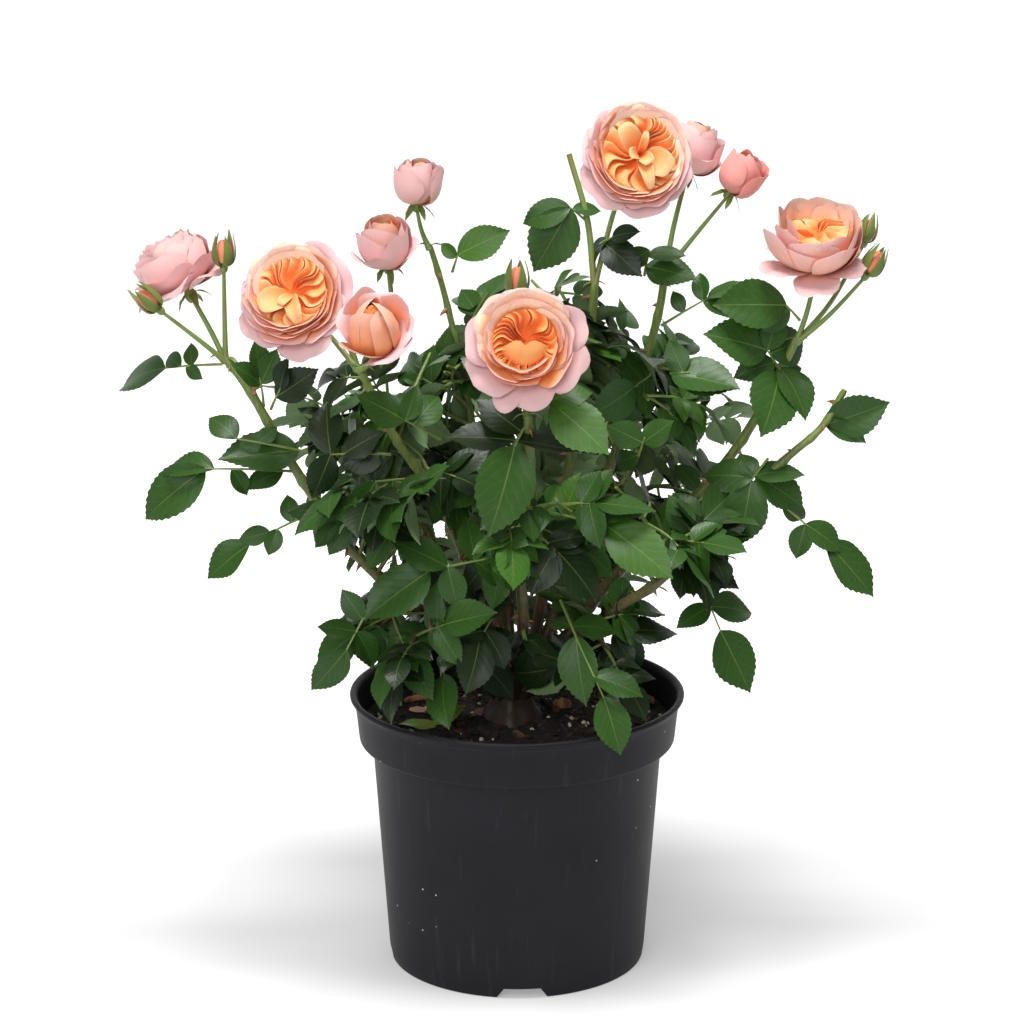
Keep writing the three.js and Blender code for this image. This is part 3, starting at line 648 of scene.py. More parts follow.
def pot_profile():
    """The moulded pot's section, from the middle of its underside round the rolled lip to its floor."""
    lip = arc((LIP_RADIUS - 2, POT_HEIGHT - 2), 2, -60, 90, 7)
    shoulder = arc((BAND_FOOT_RADIUS - 3, BAND_FOOT + 3.4), 3, -80, 0, 5)
    return [
        (0, 0),
        (PAD_RADIUS, 0),
        (PAD_RADIUS + 2, CHANNEL_HEIGHT),
        (CHANNEL_RADIUS, CHANNEL_HEIGHT),
        (CHANNEL_RADIUS + 2, 0),
        (FOOT_RADIUS - 1.4, 0),
        (FOOT_RADIUS - 0.4, 0.5),
        (FOOT_RADIUS, 1.5),
        (wall_radius(SKIRT_HEIGHT), SKIRT_HEIGHT),
        (wall_radius(60), 60),
        (wall_radius(112), 112),
        (WALL_TOP_RADIUS - 0.2, BAND_FOOT - 3),
        (WALL_TOP_RADIUS + 0.8, BAND_FOOT),
        (WALL_TOP_RADIUS + 3, BAND_FOOT + 0.3),
        *shoulder,
        (BAND_FOOT_RADIUS + 1.5, BAND_FOOT + 18),
        (BAND_TOP_RADIUS - 0.2, POT_HEIGHT - 8),
        (BAND_TOP_RADIUS + 0.6, POT_HEIGHT - 5.4),
        (LIP_RADIUS - 1.8, POT_HEIGHT - 4.4),
        *lip,
        (LIP_RADIUS - 3.4, POT_HEIGHT - 0.2),
        (BAND_TOP_RADIUS - WALL + 0.6, POT_HEIGHT - 2),
        (BAND_TOP_RADIUS - WALL, POT_HEIGHT - 5),
        (BAND_FOOT_RADIUS - WALL, BAND_FOOT + 6),
        (WALL_TOP_RADIUS - WALL, BAND_FOOT + 1),
        (wall_radius(FLOOR_TOP + 3) - WALL, FLOOR_TOP + 3),
        (wall_radius(FLOOR_TOP) - WALL - 3, FLOOR_TOP),
        (0, FLOOR_TOP),
    ]


def prism(outline, depth, turn, out):
    """A cutter: an outline across and up, carried outwards from a distance along -Y and turned about Z."""
    cos, sin = math.cos(turn), math.sin(turn)
    points = []
    for y in (-out, -out - depth):
        for x, z in outline:
            points.append((x * cos - y * sin, x * sin + y * cos, z))
    count = len(outline)
    faces = [tuple(range(count)), tuple(reversed(range(count, 2 * count)))]
    for i in range(count):
        j = (i + 1) % count
        faces.append((j, i, i + count, j + count))
    mesh = bpy.data.meshes.new("cutter")
    mesh.from_pydata([[c * MM for c in p] for p in points], [], faces)
    form = bmesh.new()
    form.from_mesh(mesh)
    bmesh.ops.recalc_face_normals(form, faces=form.faces)
    form.to_mesh(mesh)
    form.free()
    return mesh


def cut(piece, cutters):
    """Cuts the meshes out of the piece, and leaves it a plain mesh."""
    for mesh in cutters:
        cutter = bpy.data.objects.new("cutter", mesh)
        bpy.context.scene.collection.objects.link(cutter)
        modifier = piece.modifiers.new("cut", "BOOLEAN")
        modifier.operation = "DIFFERENCE"
        modifier.solver = "EXACT"
        modifier.object = cutter
        done = realized(piece)
        piece.modifiers.clear()
        piece.data = done
        bpy.data.objects.remove(cutter)


def realized(piece):
    """The piece's mesh with its modifiers worked out."""
    bpy.context.view_layer.update()
    graph = bpy.context.evaluated_depsgraph_get()
    return bpy.data.meshes.new_from_object(piece.evaluated_get(graph), depsgraph=graph)


def polypropylene(looks):
    """Injection-moulded polypropylene: matte charcoal, with pale dust specks and faint upright scuffs."""
    constants = {"IOR": 1.49, "Specular IOR Level": 0.18}
    material, tree, shader = new_material("Moulded polypropylene, dusty", constants)
    place = node(tree, "ShaderNodeTexCoord").outputs["Object"]
    cloud = node(tree, "ShaderNodeTexNoise", {"Vector": place, "Scale": 14, "Detail": 5, "Roughness": 0.6})
    tone = node(
        tree, "ShaderNodeValToRGB", {"Fac": cloud}, stops=[(0.3, looks.plastic), (0.72, looks.plastic_worn)]
    )
    # Dust specks a millimetre or so across on a 9.5 mm grid, of which about one in seven is kept.
    specks = node(tree, "ShaderNodeTexVoronoi", {"Vector": place, "Scale": 105}, feature="F1")
    speck = node(
        tree,
        "ShaderNodeValToRGB",
        {"Fac": specks.outputs["Distance"]},
        stops=[(0.055, grey(1)), (0.085, grey(0))],
    )
    chosen = node(tree, "ShaderNodeSeparateColor", {"Color": specks.outputs["Color"]})
    kept = node(tree, "ShaderNodeMath", {0: chosen.outputs["Red"], 1: 0.86}, operation="GREATER_THAN")
    dust = node(tree, "ShaderNodeMath", {0: speck, 1: kept}, operation="MULTIPLY")
    # Scuffs run up the wall, about 6 mm apart and 110 mm long.
    drawn = node(tree, "ShaderNodeMapping", {"Vector": place, "Scale": (60, 60, 3)})
    streaks = node(tree, "ShaderNodeTexNoise", {"Vector": drawn, "Scale": 3, "Detail": 3})
    scuff = node(tree, "ShaderNodeValToRGB", {"Fac": streaks}, stops=[(0.62, grey(0)), (0.8, grey(0.28))])
    worn = node(tree, "ShaderNodeMix", {0: scuff, 6: tone, 7: looks.scuff}, data_type="RGBA")
    dusty = node(tree, "ShaderNodeMix", {0: dust, 6: worn.outputs[2], 7: looks.dust}, data_type="RGBA")
    tree.links.new(dusty.outputs[2], shader.inputs["Base Color"])
    gloss = node(tree, "ShaderNodeMapRange", {"Value": cloud, "To Min": 0.42, "To Max": 0.6})
    tree.links.new(gloss.outputs[0], shader.inputs["Roughness"])
    grain = node(tree, "ShaderNodeTexNoise", {"Vector": place, "Scale": 900, "Detail": 2})
    bump(tree, shader, grain, 0.12, 0.0004)
    return material


def peat(looks):
    """Damp peat compost: near black, crumbly, with brown fibres and crumbs."""
    material, tree, shader = new_material("Damp peat compost", {"Roughness": 0.92})
    place = node(tree, "ShaderNodeTexCoord").outputs["Object"]
    crumbs = node(tree, "ShaderNodeTexNoise", {"Vector": place, "Scale": 160, "Detail": 8, "Roughness": 0.7})
    tone = node(
        tree,
        "ShaderNodeValToRGB",
        {"Fac": crumbs},
        stops=[(0.36, looks.damp), (0.6, looks.dry), (0.74, looks.fibre)],
    )
    tree.links.new(tone.outputs["Color"], shader.inputs["Base Color"])
    bump(tree, shader, crumbs, 0.9, 0.004)
    return material


def chip_bark(looks):
    """Composted bark chips: red-brown to tan flakes with a fibrous face."""
    material, tree, shader = new_material("Composted bark chips", {"Roughness": 0.85})
    place = node(tree, "ShaderNodeTexCoord").outputs["Object"]
    patches = node(tree, "ShaderNodeTexVoronoi", {"Vector": place, "Scale": 90}, feature="F1")
    shade = node(tree, "ShaderNodeSeparateColor", {"Color": patches.outputs["Color"]})
    tone = node(
        tree,
        "ShaderNodeValToRGB",
        {"Fac": shade.outputs["Green"]},
        stops=[(0.0, looks.chip_dark), (0.55, looks.chip), (0.8, looks.chip), (1.0, looks.chip_pale)],
    )
    fibre = node(tree, "ShaderNodeTexNoise", {"Vector": place, "Scale": 420, "Detail": 5})
    mixed = node(tree, "ShaderNodeMix", {0: fibre, 6: tone, 7: looks.chip_dark}, data_type="RGBA")
    tree.links.new(mixed.outputs[2], shader.inputs["Base Color"])
    bump(tree, shader, fibre, 0.6, 0.001)
    return material


# Lumps of split wood on the compost: where each lies and where it ends, and its radius.
WOOD_LUMPS = (
    ((27, 22, 181), (39, 16, 182), 4.6),
    ((79, 28, 181), (95, 16, 182), 4.4),
    ((-82, 30, 181), (-60, 38, 181), 2.6),
    ((-66, 4, 181), (-52, 12, 182), 3.0),
    ((92, 40, 180), (99, 24, 182), 3.2),
)


def wood_lumps():
    """The lumps of split wood as one mesh, broken and lumpy."""
    shape = Shape()
    rng = np.random.default_rng(3)
    for start, end, radius in WOOD_LUMPS:
        line = bowed(start, end, 1.5, UP, 2.5)
        steps = np.linspace(0.08, 0.94, len(line))
        relief = rng.uniform(0.72, 1.18, (len(line), 9))
        tube(shape, line, radius * np.sin(steps * math.pi) ** 0.5, 9, relief=relief)
    return shape.mesh("lumps", 30)


def split_wood(looks):
    """Split wood: pale tan, matte."""
    return mottled("Split wood", 150, 4, [(0.35, looks.chip), (0.6, looks.split)], 0.9)


def perlite_stone(looks):
    """Expanded perlite: white, chalky beads."""
    return mottled("Expanded perlite", 500, 4, [(0.3, looks.perlite_dirty), (0.6, looks.perlite)], 0.9)


def soil_height(x, y):
    """The compost's height: mounded at the middle, level at the pot's wall, with soft lumps."""
    distance = math.hypot(x, y) / (BAND_FOOT_RADIUS - WALL)
    mound = SOIL_MOUND * max(0.0, 1 - distance) ** 0.8
    lumps = 1.3 * math.sin(0.11 * x + 1.7) * math.sin(0.13 * y + 0.4) + 0.8 * math.sin(0.31 * x + 0.23 * y)
    return SOIL_SURFACE - 1.5 + mound + lumps * (1 - distance**6)


def soil_shape():
    """The compost as a closed body that fills the pot, with a crumbled top."""
    shape = Shape()
    rng = np.random.default_rng(3)
    rings, segments = 44, 132
    edge = BAND_FOOT_RADIUS - WALL - 0.6
    turns = [2 * math.pi * j / segments for j in range(segments)]
    points = []
    for i in range(1, rings + 1):
        r = edge * i / rings
        for turn in turns:
            x, y = r * math.cos(turn), r * math.sin(turn)
            crumb = rng.uniform(-0.9, 0.9) if i < rings else 0
            points.append((x, y, soil_height(x, y) + crumb))
    points += [(0, 0, soil_height(0, 0))]
    top = len(points) - 1
    side = [(edge - 0.6, BAND_FOOT + 8), (WALL_TOP_RADIUS - WALL - 1, BAND_FOOT), (90, FLOOR_TOP + 1)]
    for r, z in side:
        points += [(r * math.cos(turn), r * math.sin(turn), z) for turn in turns]
    points += [(0, 0, FLOOR_TOP + 1)]
    foot = len(points) - 1
    starts = [i * segments for i in range(rings)] + [top + 1 + i * segments for i in range(len(side))]
    loops, totals = [], []
    for j in range(segments):
        k = (j + 1) % segments
        loops += [top, j, k]
        totals.append(3)
        for a, b in zip(starts, starts[1:]):
            loops += [a + j, b + j, b + k, a + k]
            totals.append(4)
        loops += [starts[-1] + j, foot, starts[-1] + k]
        totals.append(3)
    shape.add(points, loops, totals, np.zeros((len(loops), 2)), 0)
    return shape


# ---- Wood ------------------------------------------------------------------------------------------
def cane_path(name):
    """The line of a cane, from inside the stump to its tip."""
    via = CANES[name][0]
    lean = unit([via[0][0] - STUMP_AT[0], via[0][1] - STUMP_AT[1], 0])
    out = 0.72 * STUMP_TOP_RADIUS
    foot = (STUMP_AT[0] + out * lean[0], STUMP_AT[1] + out * lean[1], SOIL_TOP + 0.7 * STUMP_HEIGHT)
    return smooth_path([foot, *via], PATH_STEP)


def add_cane(shape, name, rng):
    """One cane: tapered, with swollen nodes where its leaves left it and slight ribs along it."""
    path = cane_path(name)
    foot, tip = CANES[name][1:]
    rings, sides = len(path), 14
    share = np.linspace(0, 1, rings)
    radii = foot + (tip - foot) * share
    along = travelled(path)
    relief = np.ones((rings, sides))
    angles = np.arange(sides) * 2 * math.pi / sides
    place = rng.uniform(12, 24)
    while place < along[-1] - 6:
        face = rng.uniform(0, 2 * math.pi)
        near = np.exp(-(((along - place) / 3.2) ** 2))
        relief += near[:, None] * (0.13 + 0.2 * np.maximum(0, np.cos(angles - face)) ** 2)
        place += rng.uniform(18, 34)
    ribs = 0.05 * np.sin(3 * angles + rng.uniform(0, 6)) + 0.03 * np.sin(5 * angles + rng.uniform(0, 6))
    relief += ribs
    relief += rng.uniform(-0.018, 0.018, relief.shape)
    relief[-1] *= 0.82
    tube(shape, path, radii, sides, relief=relief)


def add_stump(shape, rng):
    """The budded stump: a knuckle, wide at the compost, with old pruning scars."""
    profile = [(1.16, -4), (1.02, 3), (0.86, 7), (0.74, 12), (0.72, 16), (0.6, 19), (0.3, 20.5)]
    sides = 26
    angles = np.arange(sides) * 2 * math.pi / sides
    centre = np.array([*STUMP_AT, 0.0])
    path = np.array([centre + (0, 0, SOIL_TOP - 1.5 + z) for _, z in profile])
    relief = np.ones((len(profile), sides))
    for lobes, size in ((3, 0.13), (5, 0.09), (9, 0.05)):
        relief += size * np.sin(lobes * angles + rng.uniform(0, 6))
    relief += rng.uniform(-0.05, 0.05, relief.shape)
    radii = np.array([share * STUMP_FOOT_RADIUS * 0.94 for share, _ in profile])
    tube(shape, path, radii, sides, relief=np.clip(relief, 0.7, 1.12))


def flower_frame(name):
    """A flower's middle, its facing, half its width and its kind."""
    at, facing, width, kind = FLOWERS[name]
    return np.array(at, float), unit(facing), width / 2, kind


def stalk_line(fork, name):
    """The line of the stalk from a fork to the underside of a flower."""
    at, facing, half, kind = flower_frame(name)
    low = REACH[kind][0] * half
    top = at + low * facing
    fork = np.array(fork, float)
    under = top - 0.3 * np.linalg.norm(top - fork) * facing
    return smooth_path([fork - (0, 0, STALK_SEAT), fork + 0.6 * (under - fork), top + facing], PATH_STEP)


def add_truss(shape, name):
    """The stalks of one truss, thicker where they leave the fork."""
    fork, flowers, cut_end = TRUSSES[name]
    for flower in flowers:
        line = stalk_line(fork, flower)
        tip = BUD_STALK_TIP_RADIUS if flower.startswith("bud_") else STALK_TIP_RADIUS
        radii = np.linspace(STALK_FOOT_RADIUS, tip, len(line))
        radii += 0.7 * np.exp(-((np.arange(len(line)) * PATH_STEP / 5) ** 2))
        tube(shape, line, radii, 10)
    if cut_end:
        line = bowed(np.array(fork, float) - (0, 0, STALK_SEAT), cut_end, 4, (1, 0, 0), PATH_STEP)
        tube(shape, line, np.linspace(*STUB_RADII, len(line)), 10)


def cane_skin(looks):
    """Rose cane: waxy green bark that turns brown and corky towards the compost, with lengthwise grain."""
    material, tree, shader = new_material("Rose cane bark", {"Roughness": 0.48})
    place = node(tree, "ShaderNodeTexCoord").outputs["Object"]
    height = node(tree, "ShaderNodeSeparateXYZ", {"Vector": place}).outputs["Z"]
    cloud = node(tree, "ShaderNodeTexNoise", {"Vector": place, "Scale": 28, "Detail": 4})
    shift = node(tree, "ShaderNodeMath", {0: cloud, 1: 0.16, 2: height}, operation="MULTIPLY_ADD")
    age = node(tree, "ShaderNodeMapRange", {"Value": shift, "From Min": 0.26, "From Max": 0.52})
    ages = [(0.0, looks.bark_old), (0.3, looks.bark_brown), (0.62, looks.bark_young), (1.0, looks.bark_tip)]
    tone = node(tree, "ShaderNodeValToRGB", {"Fac": age}, stops=ages)
    drawn = node(tree, "ShaderNodeMapping", {"Vector": place, "Scale": (1, 1, 0.12)})
    grain = node(tree, "ShaderNodeTexNoise", {"Vector": drawn, "Scale": 700, "Detail": 3})
    lines = node(tree, "ShaderNodeValToRGB", {"Fac": grain}, stops=[(0.4, grey(0.62)), (0.62, grey(1))])
    coloured = node(
        tree, "ShaderNodeMix", {0: 0.8, 6: tone, 7: lines}, data_type="RGBA", blend_type="MULTIPLY"
    )
    tree.links.new(coloured.outputs[2], shader.inputs["Base Color"])
    bump(tree, shader, grain, 0.35, 0.0008)
    return material


def stalk_skin(looks):
    """Young flower stalk: smooth green, flushed red in patches."""
    return mottled("Young rose stalk", 42, 3, [(0.5, looks.stalk), (0.9, looks.stalk_red)], 0.42)


def thorn_skin(looks):
    """Rose prickle: horn that dries red-brown."""
    return mottled("Rose prickle", 90, 2, [(0.35, looks.thorn), (0.7, looks.thorn_pale)], 0.4)


# ---- Leaves ----------------------------------------------------------------------------------------
# The first tint is a darker copy of the green, painted shade for leaves inside the bush.
LEAF_CELLS = 4  # three tints and the underside lie side by side on one UV sheet
UNDERSIDE = 3
VEIN_PAIRS = 7
LEAF_ROWS = 7
TEETH_PER_ROW = 2


def leaf_outline(u):
    """Half a leaflet's width along its length, as a share of the widest: a round foot, a drawn-out tip."""
    widest_at = 0.42
    foot = np.sin(np.minimum(1, u / widest_at) * math.pi / 2) ** 0.62
    tip = np.cos(np.clip((u - widest_at) / (1 - widest_at), 0, 1) ** 1.15 * math.pi / 2) ** 1.25
    return np.where(u < widest_at, foot, tip)


def leaf_template():
    """A leaflet's points as (along, across, tooth, layer) and its faces, with UV corners and faces' sides."""
    rows = LEAF_ROWS
    points = []
    index = {}

    def point(key, along, side, tooth, layer):
        index[key] = len(points)
        points.append((along, side, tooth, layer))

    shares = np.linspace(0.0, 1.0, rows + 1)
    shares = 0.6 * shares + 0.4 * (1 - np.cos(math.pi * shares)) / 2
    for i, along in enumerate(shares):
        for j, side in enumerate((-1, -0.5, 0, 0.5, 1)):
            point(("top", i, j), along, side, 0, 0)
            if 0 < j < 4:
                point(("under", i, j), along, side, 0, -1)
        index["under", i, 0], index["under", i, 4] = index["top", i, 0], index["top", i, 4]
    steps = 2 * TEETH_PER_ROW
    for i in range(rows):
        for side in (-1, 1):
            for k in range(1, steps):
                share = k / steps
                along = shares[i] + (shares[i + 1] - shares[i]) * share
                point(("edge", i, side, k), along, side, 1.0 if k % 2 else 0.0, 0)
    faces, sides = [], []

    def both(*corners):
        """The same face on the upper and the under side, cut along the same diagonal."""
        under = [("under", *key[1:]) if key[0] == "top" else key for key in corners]
        faces.append(corners)
        faces.append(under[:1] + under[:0:-1])
        sides.extend([0, 1])

    for i in range(rows):
        for j in (1, 2):
            both(("top", i, j), ("top", i + 1, j), ("top", i + 1, j + 1), ("top", i, j + 1))
        for side, near, far in ((1, 3, 4), (-1, 1, 0)):
            a, b = ("top", i, near), ("top", i + 1, near)
            rim = [("top", i, far), *(("edge", i, side, k) for k in range(1, steps)), ("top", i + 1, far)]
            fan = [(a, b, rim[2]), (b, rim[4], rim[3]), (b, rim[3], rim[2])]
            fan += [(a, rim[2], rim[1]), (a, rim[1], rim[0])]
            for corners in fan:
                both(*(corners if side > 0 else reversed(corners)))
    faces.append([("top", 0, j) for j in range(5)] + [("under", 0, j) for j in (3, 2, 1)])
    faces.append([("top", rows, j) for j in reversed(range(5))] + [("under", rows, j) for j in (1, 2, 3)])
    sides += [1, 1]
    loops = [index[key] for face in faces for key in face]
    totals = [len(face) for face in faces]
    return np.array(points, float), np.array(loops), np.array(totals), np.array(sides)


LEAF_POINTS, LEAF_LOOPS, LEAF_TOTALS, LEAF_SIDES = leaf_template()


def add_leaflet(shape, base, direction, facing, size, width, tint, rng, bend=None, fold=None):
    """One leaflet: folded along its midrib, curved down to its tip, with a toothed edge."""
    along, side, tooth, layer = LEAF_POINTS.T
    bend = rng.uniform(0.15, 0.95) if bend is None else bend
    fold = rng.uniform(0.12, 0.45) if fold is None else fold
    twist = rng.uniform(-0.4, 0.4)
    half = width / 2 * leaf_outline(np.clip(along, 0.004, 0.996))
    tooth_size = 0.022 * size * tooth * (0.35 + 0.65 * np.minimum(1, half / (width / 4)))
    y = side * half + np.sign(side) * 0.7 * tooth_size
    x = along * size + 0.75 * tooth_size
    depth = np.abs(y)
    ripple = 0.03 * size * np.sin(rng.uniform(4, 8) * along + rng.uniform(0, 6) + 0.8 * np.sign(side))
    z = depth * math.sin(fold) - 0.35 * depth**2 / max(width, 1) + ripple * (depth / (width / 2)) ** 1.5
    y = y * math.cos(fold)
    z = z + layer * 0.012 * size
    turn = twist * along
    y, z = y * np.cos(turn) - z * np.sin(turn), y * np.sin(turn) + z * np.cos(turn)
    angle = bend * x / size
    arc_x = size * np.sin(angle) / bend
    arc_z = -size * (1 - np.cos(angle)) / bend
    x, z = arc_x + z * np.sin(angle), arc_z + z * np.cos(angle)
    direction = unit(direction)
    normal = across(direction, facing)
    sideways = np.cross(normal, direction)
    points = base + x[:, None] * direction + y[:, None] * sideways + z[:, None] * normal
    slots = np.where(LEAF_SIDES == 1, UNDERSIDE, tint)
    corner_slots = np.repeat(slots, LEAF_TOTALS)
    widest = side * (half / (width / 2))
    u = (corner_slots + 0.5 + 0.44 * widest[LEAF_LOOPS]) / LEAF_CELLS
    v = 0.03 + 0.94 * along[LEAF_LOOPS]
    shape.add(points, LEAF_LOOPS, LEAF_TOTALS, np.column_stack([u, v]), slots)


def standard_leaflets(pairs, size, rng):
    """The leaflets of a rose leaf: pairs along the rachis that grow towards the tip, then the last one."""
    leaflets = []
    for i in range(pairs):
        share = 1 - 0.36 * (pairs - i) / max(pairs, 1) - 0.06 * (pairs - i - 1)
        scale = size * (0.9 - 0.13 * (pairs - 1 - i))
        for side in (-1, 1):
            angle = side * rng.uniform(56, 78)
            leaflets.append((share + rng.uniform(-0.02, 0.02), angle, scale * rng.uniform(0.9, 1.08)))
    leaflets.append((1.0, rng.uniform(-10, 10), size * 1.12))
    return leaflets


def add_leaf(leaves, stems, base, end, facing, leaflets, tint, rng, slack=14):
    """One compound leaf: a thin rachis from base to end, and its leaflets as (share, angle, length)."""
    base = np.asarray(base, float)
    end = np.asarray(end, float)
    reach = np.linalg.norm(end - base)
    path = bowed(base, end, 0.07 * reach, facing, 6)
    tube(stems, path, np.linspace(*RACHIS_RADII, len(path)), 5, slot=1)
    for share, angle, size in leaflets:
        place = min(max(share, 0), 1) * (len(path) - 1)
        low = min(int(place), len(path) - 2)
        start = path[low] + (place - low) * (path[low + 1] - path[low])
        forward = unit(path[low + 1] - path[low])
        normal = across(forward, facing)
        sideways = np.cross(normal, forward)
        turn = math.radians(angle)
        direction = math.cos(turn) * forward + math.sin(turn) * sideways
        direction = unit(direction + normal * math.radians(rng.uniform(-slack, slack)))
        # A leaflet that grows sideways turns its upper side to the sky, one that hangs turns it outwards.
        level = 1 - abs(direction[2])
        leaf_facing = normal + rng.uniform(0.3, 1.5) * level * UP + rng.normal(0, 0.22, 3)
        add_leaflet(leaves, start, direction, leaf_facing, size, size * rng.uniform(0.6, 0.72), tint, rng)


def nearest_wood(point, reach_down):
    """The cane point nearest to a place, a little below it."""
    target = np.asarray(point, float) - (0, 0, reach_down)
    best = None
    for line in CANE_LINES.values():
        gaps = np.linalg.norm(line - target, axis=1)
        i = int(np.argmin(gaps))
        if best is None or gaps[i] < best[0]:
            best = (gaps[i], line[i])
    return best[1]


def pick_tint(height, outward, rng):
    """Which green a leaf has: darker inside and low down, where the dark green is painted shade, brighter
    outside and on top.
    """
    chance = 0.12 + 0.25 * outward + 0.1 * (height > 380)
    draw = rng.random()
    if draw < 0.1 * outward:
        return 2
    return 1 if draw < chance + 0.25 else 0


def fill_mass(name, leaves, stems, looks):
    """Grows one mass: twigs from the nearest canes, and compound leaves that turn outwards from them."""
    centre, half, _ = CROWN[name]
    centre, half = np.array(centre, float), np.array(half, float)
    rng = seeded(name, looks.seed)
    volume = half[0] * half[1] * half[2] / 1.3e5
    twig_count = round(4 + 2 * volume)
    leaf_total = round(looks.leaf_density * (7 + 12 * volume))
    twigs = []
    for i in range(twig_count):
        ball = unit(rng.normal(0, 1, 3)) * rng.uniform(0.45, 0.85)
        target = centre + ball * half
        start = nearest_wood(centre + 0.6 * ball * half, 0.55 * half[2])
        line = bowed(start, target, rng.uniform(4, 12), UP + 0.5 * unit(target - start))
        tube(stems, line, np.linspace(*TWIG_RADII, len(line)), 6)
        twigs.append(line)
    for i in range(leaf_total):
        line = twigs[i % twig_count]
        base = line[int(rng.uniform(0.3, 1.0) * (len(line) - 1))]
        out = unit((base - centre) / half + rng.normal(0, 0.55, 3))
        from_axis = unit([base[0] + rng.normal(0, 30), base[1] + rng.normal(0, 30), 0])
        heading = unit(out * (1.0, 1.0, 0.5) + 0.5 * from_axis + (0, 0, rng.uniform(-0.55, 0.25)))
        size = looks.leaflet * rng.uniform(0.7, 1.1)
        reach = rng.uniform(30, 54)
        end = base + heading * reach
        over = np.linalg.norm((end + heading * 0.7 * size - centre) / (half + 6))
        if over > 1.12:
            pull = 1.12 / over
            end = centre + (end - centre) * pull
            if np.linalg.norm(end - base) < 16:
                end = base + unit(end - base) * 16
        facing = across(heading, UP * rng.uniform(0.25, 0.9) + from_axis + rng.normal(0, 0.25, 3))
        pairs = 2 if rng.random() < 0.7 else 3
        outward = min(1.0, np.linalg.norm((end - centre) / half))
        # Leaves deep and low in the mass take the dark green, which is painted shade, more often.
        tint = pick_tint(end[2], outward, rng)
        add_leaf(leaves, stems, base, end, facing, standard_leaflets(pairs, size, rng), tint, rng)


def grow_spray(name, leaves, stems, looks):
    """One spray that stands clear of the masses: one compound leaf from its cane, its last leaflet to the
    tip.
    """
    start, tip = (np.array(p, float) for p in SPRAYS[name])
    rng = seeded(name, looks.seed)
    heading = unit(tip - start)
    reach = np.linalg.norm(tip - start)
    size = min(looks.leaflet, 0.5 * reach)
    end = tip - heading * size * 1.12
    front = np.array([0.0, -1.0 if start[1] < 60 else 1.0, 0.55])
    facing = across(heading, front)
    pairs = 1 if reach < 60 else 2 if reach < 90 else 3
    add_leaf(leaves, stems, start, end, facing, standard_leaflets(pairs, size * 0.9, rng), 1, rng, slack=8)


def add_placed_leaves(leaves, stems):
    """The leaves with a place of their own. Their upper sides turn to the front, or to their own side."""
    for name, (base, end, tint, leaflets) in PLACED_LEAVES.items():
        rng = seeded(name)
        if name.startswith("side"):
            outwards = (0.8 * math.copysign(1, base[0]), 0, 0.6)
        else:
            outwards = (rng.normal(0, 0.15), -1, 0.4)
        facing = across(np.subtract(end, base), outwards)
        add_leaf(leaves, stems, base, end, facing, leaflets, tint, rng)


# Leaflets that fell on the compost: the foot, where each points, where its upper side faces, and its length.
FALLEN_LEAFLETS = (
    ((-60, -28, 183), (0.8, 0.3, 0.5), (-0.3, -0.7, 0.6), 29),
    ((-58, -30, 182), (-1.0, 0.25, 0.16), (0.1, -0.4, 0.9), 28),
    ((-84, 20, 181), (-0.6, 0.7, 0.05), (0.0, -0.3, 1.0), 22),
)


def fallen_leaflets():
    """The fallen leaflets as one mesh."""
    shape = Shape()
    rng = np.random.default_rng(8)
    for foot, direction, facing, size in FALLEN_LEAFLETS:
        foot = np.array(foot, float)
        add_leaflet(shape, foot, direction, facing, size, 0.46 * size, 0, rng, bend=0.4, fold=0.3)
    return shape.mesh("fallen")


def cell_place(tree, cells):
    """Where a point lies in its cell of the UV sheet, as (UV, split UV, distance from the middle line)."""
    coords = node(tree, "ShaderNodeUVMap", uv_map="OFBake").outputs["UV"]
    split = node(tree, "ShaderNodeSeparateXYZ", {"Vector": coords})
    stretched = node(tree, "ShaderNodeMath", {0: split.outputs["X"], 1: cells}, operation="MULTIPLY")
    cell = node(tree, "ShaderNodeMath", {0: stretched}, operation="FRACT")
    centred = node(tree, "ShaderNodeMath", {0: cell, 1: 0.5}, operation="SUBTRACT")
    return coords, split, node(tree, "ShaderNodeMath", {0: centred.outputs[0]}, operation="ABSOLUTE")


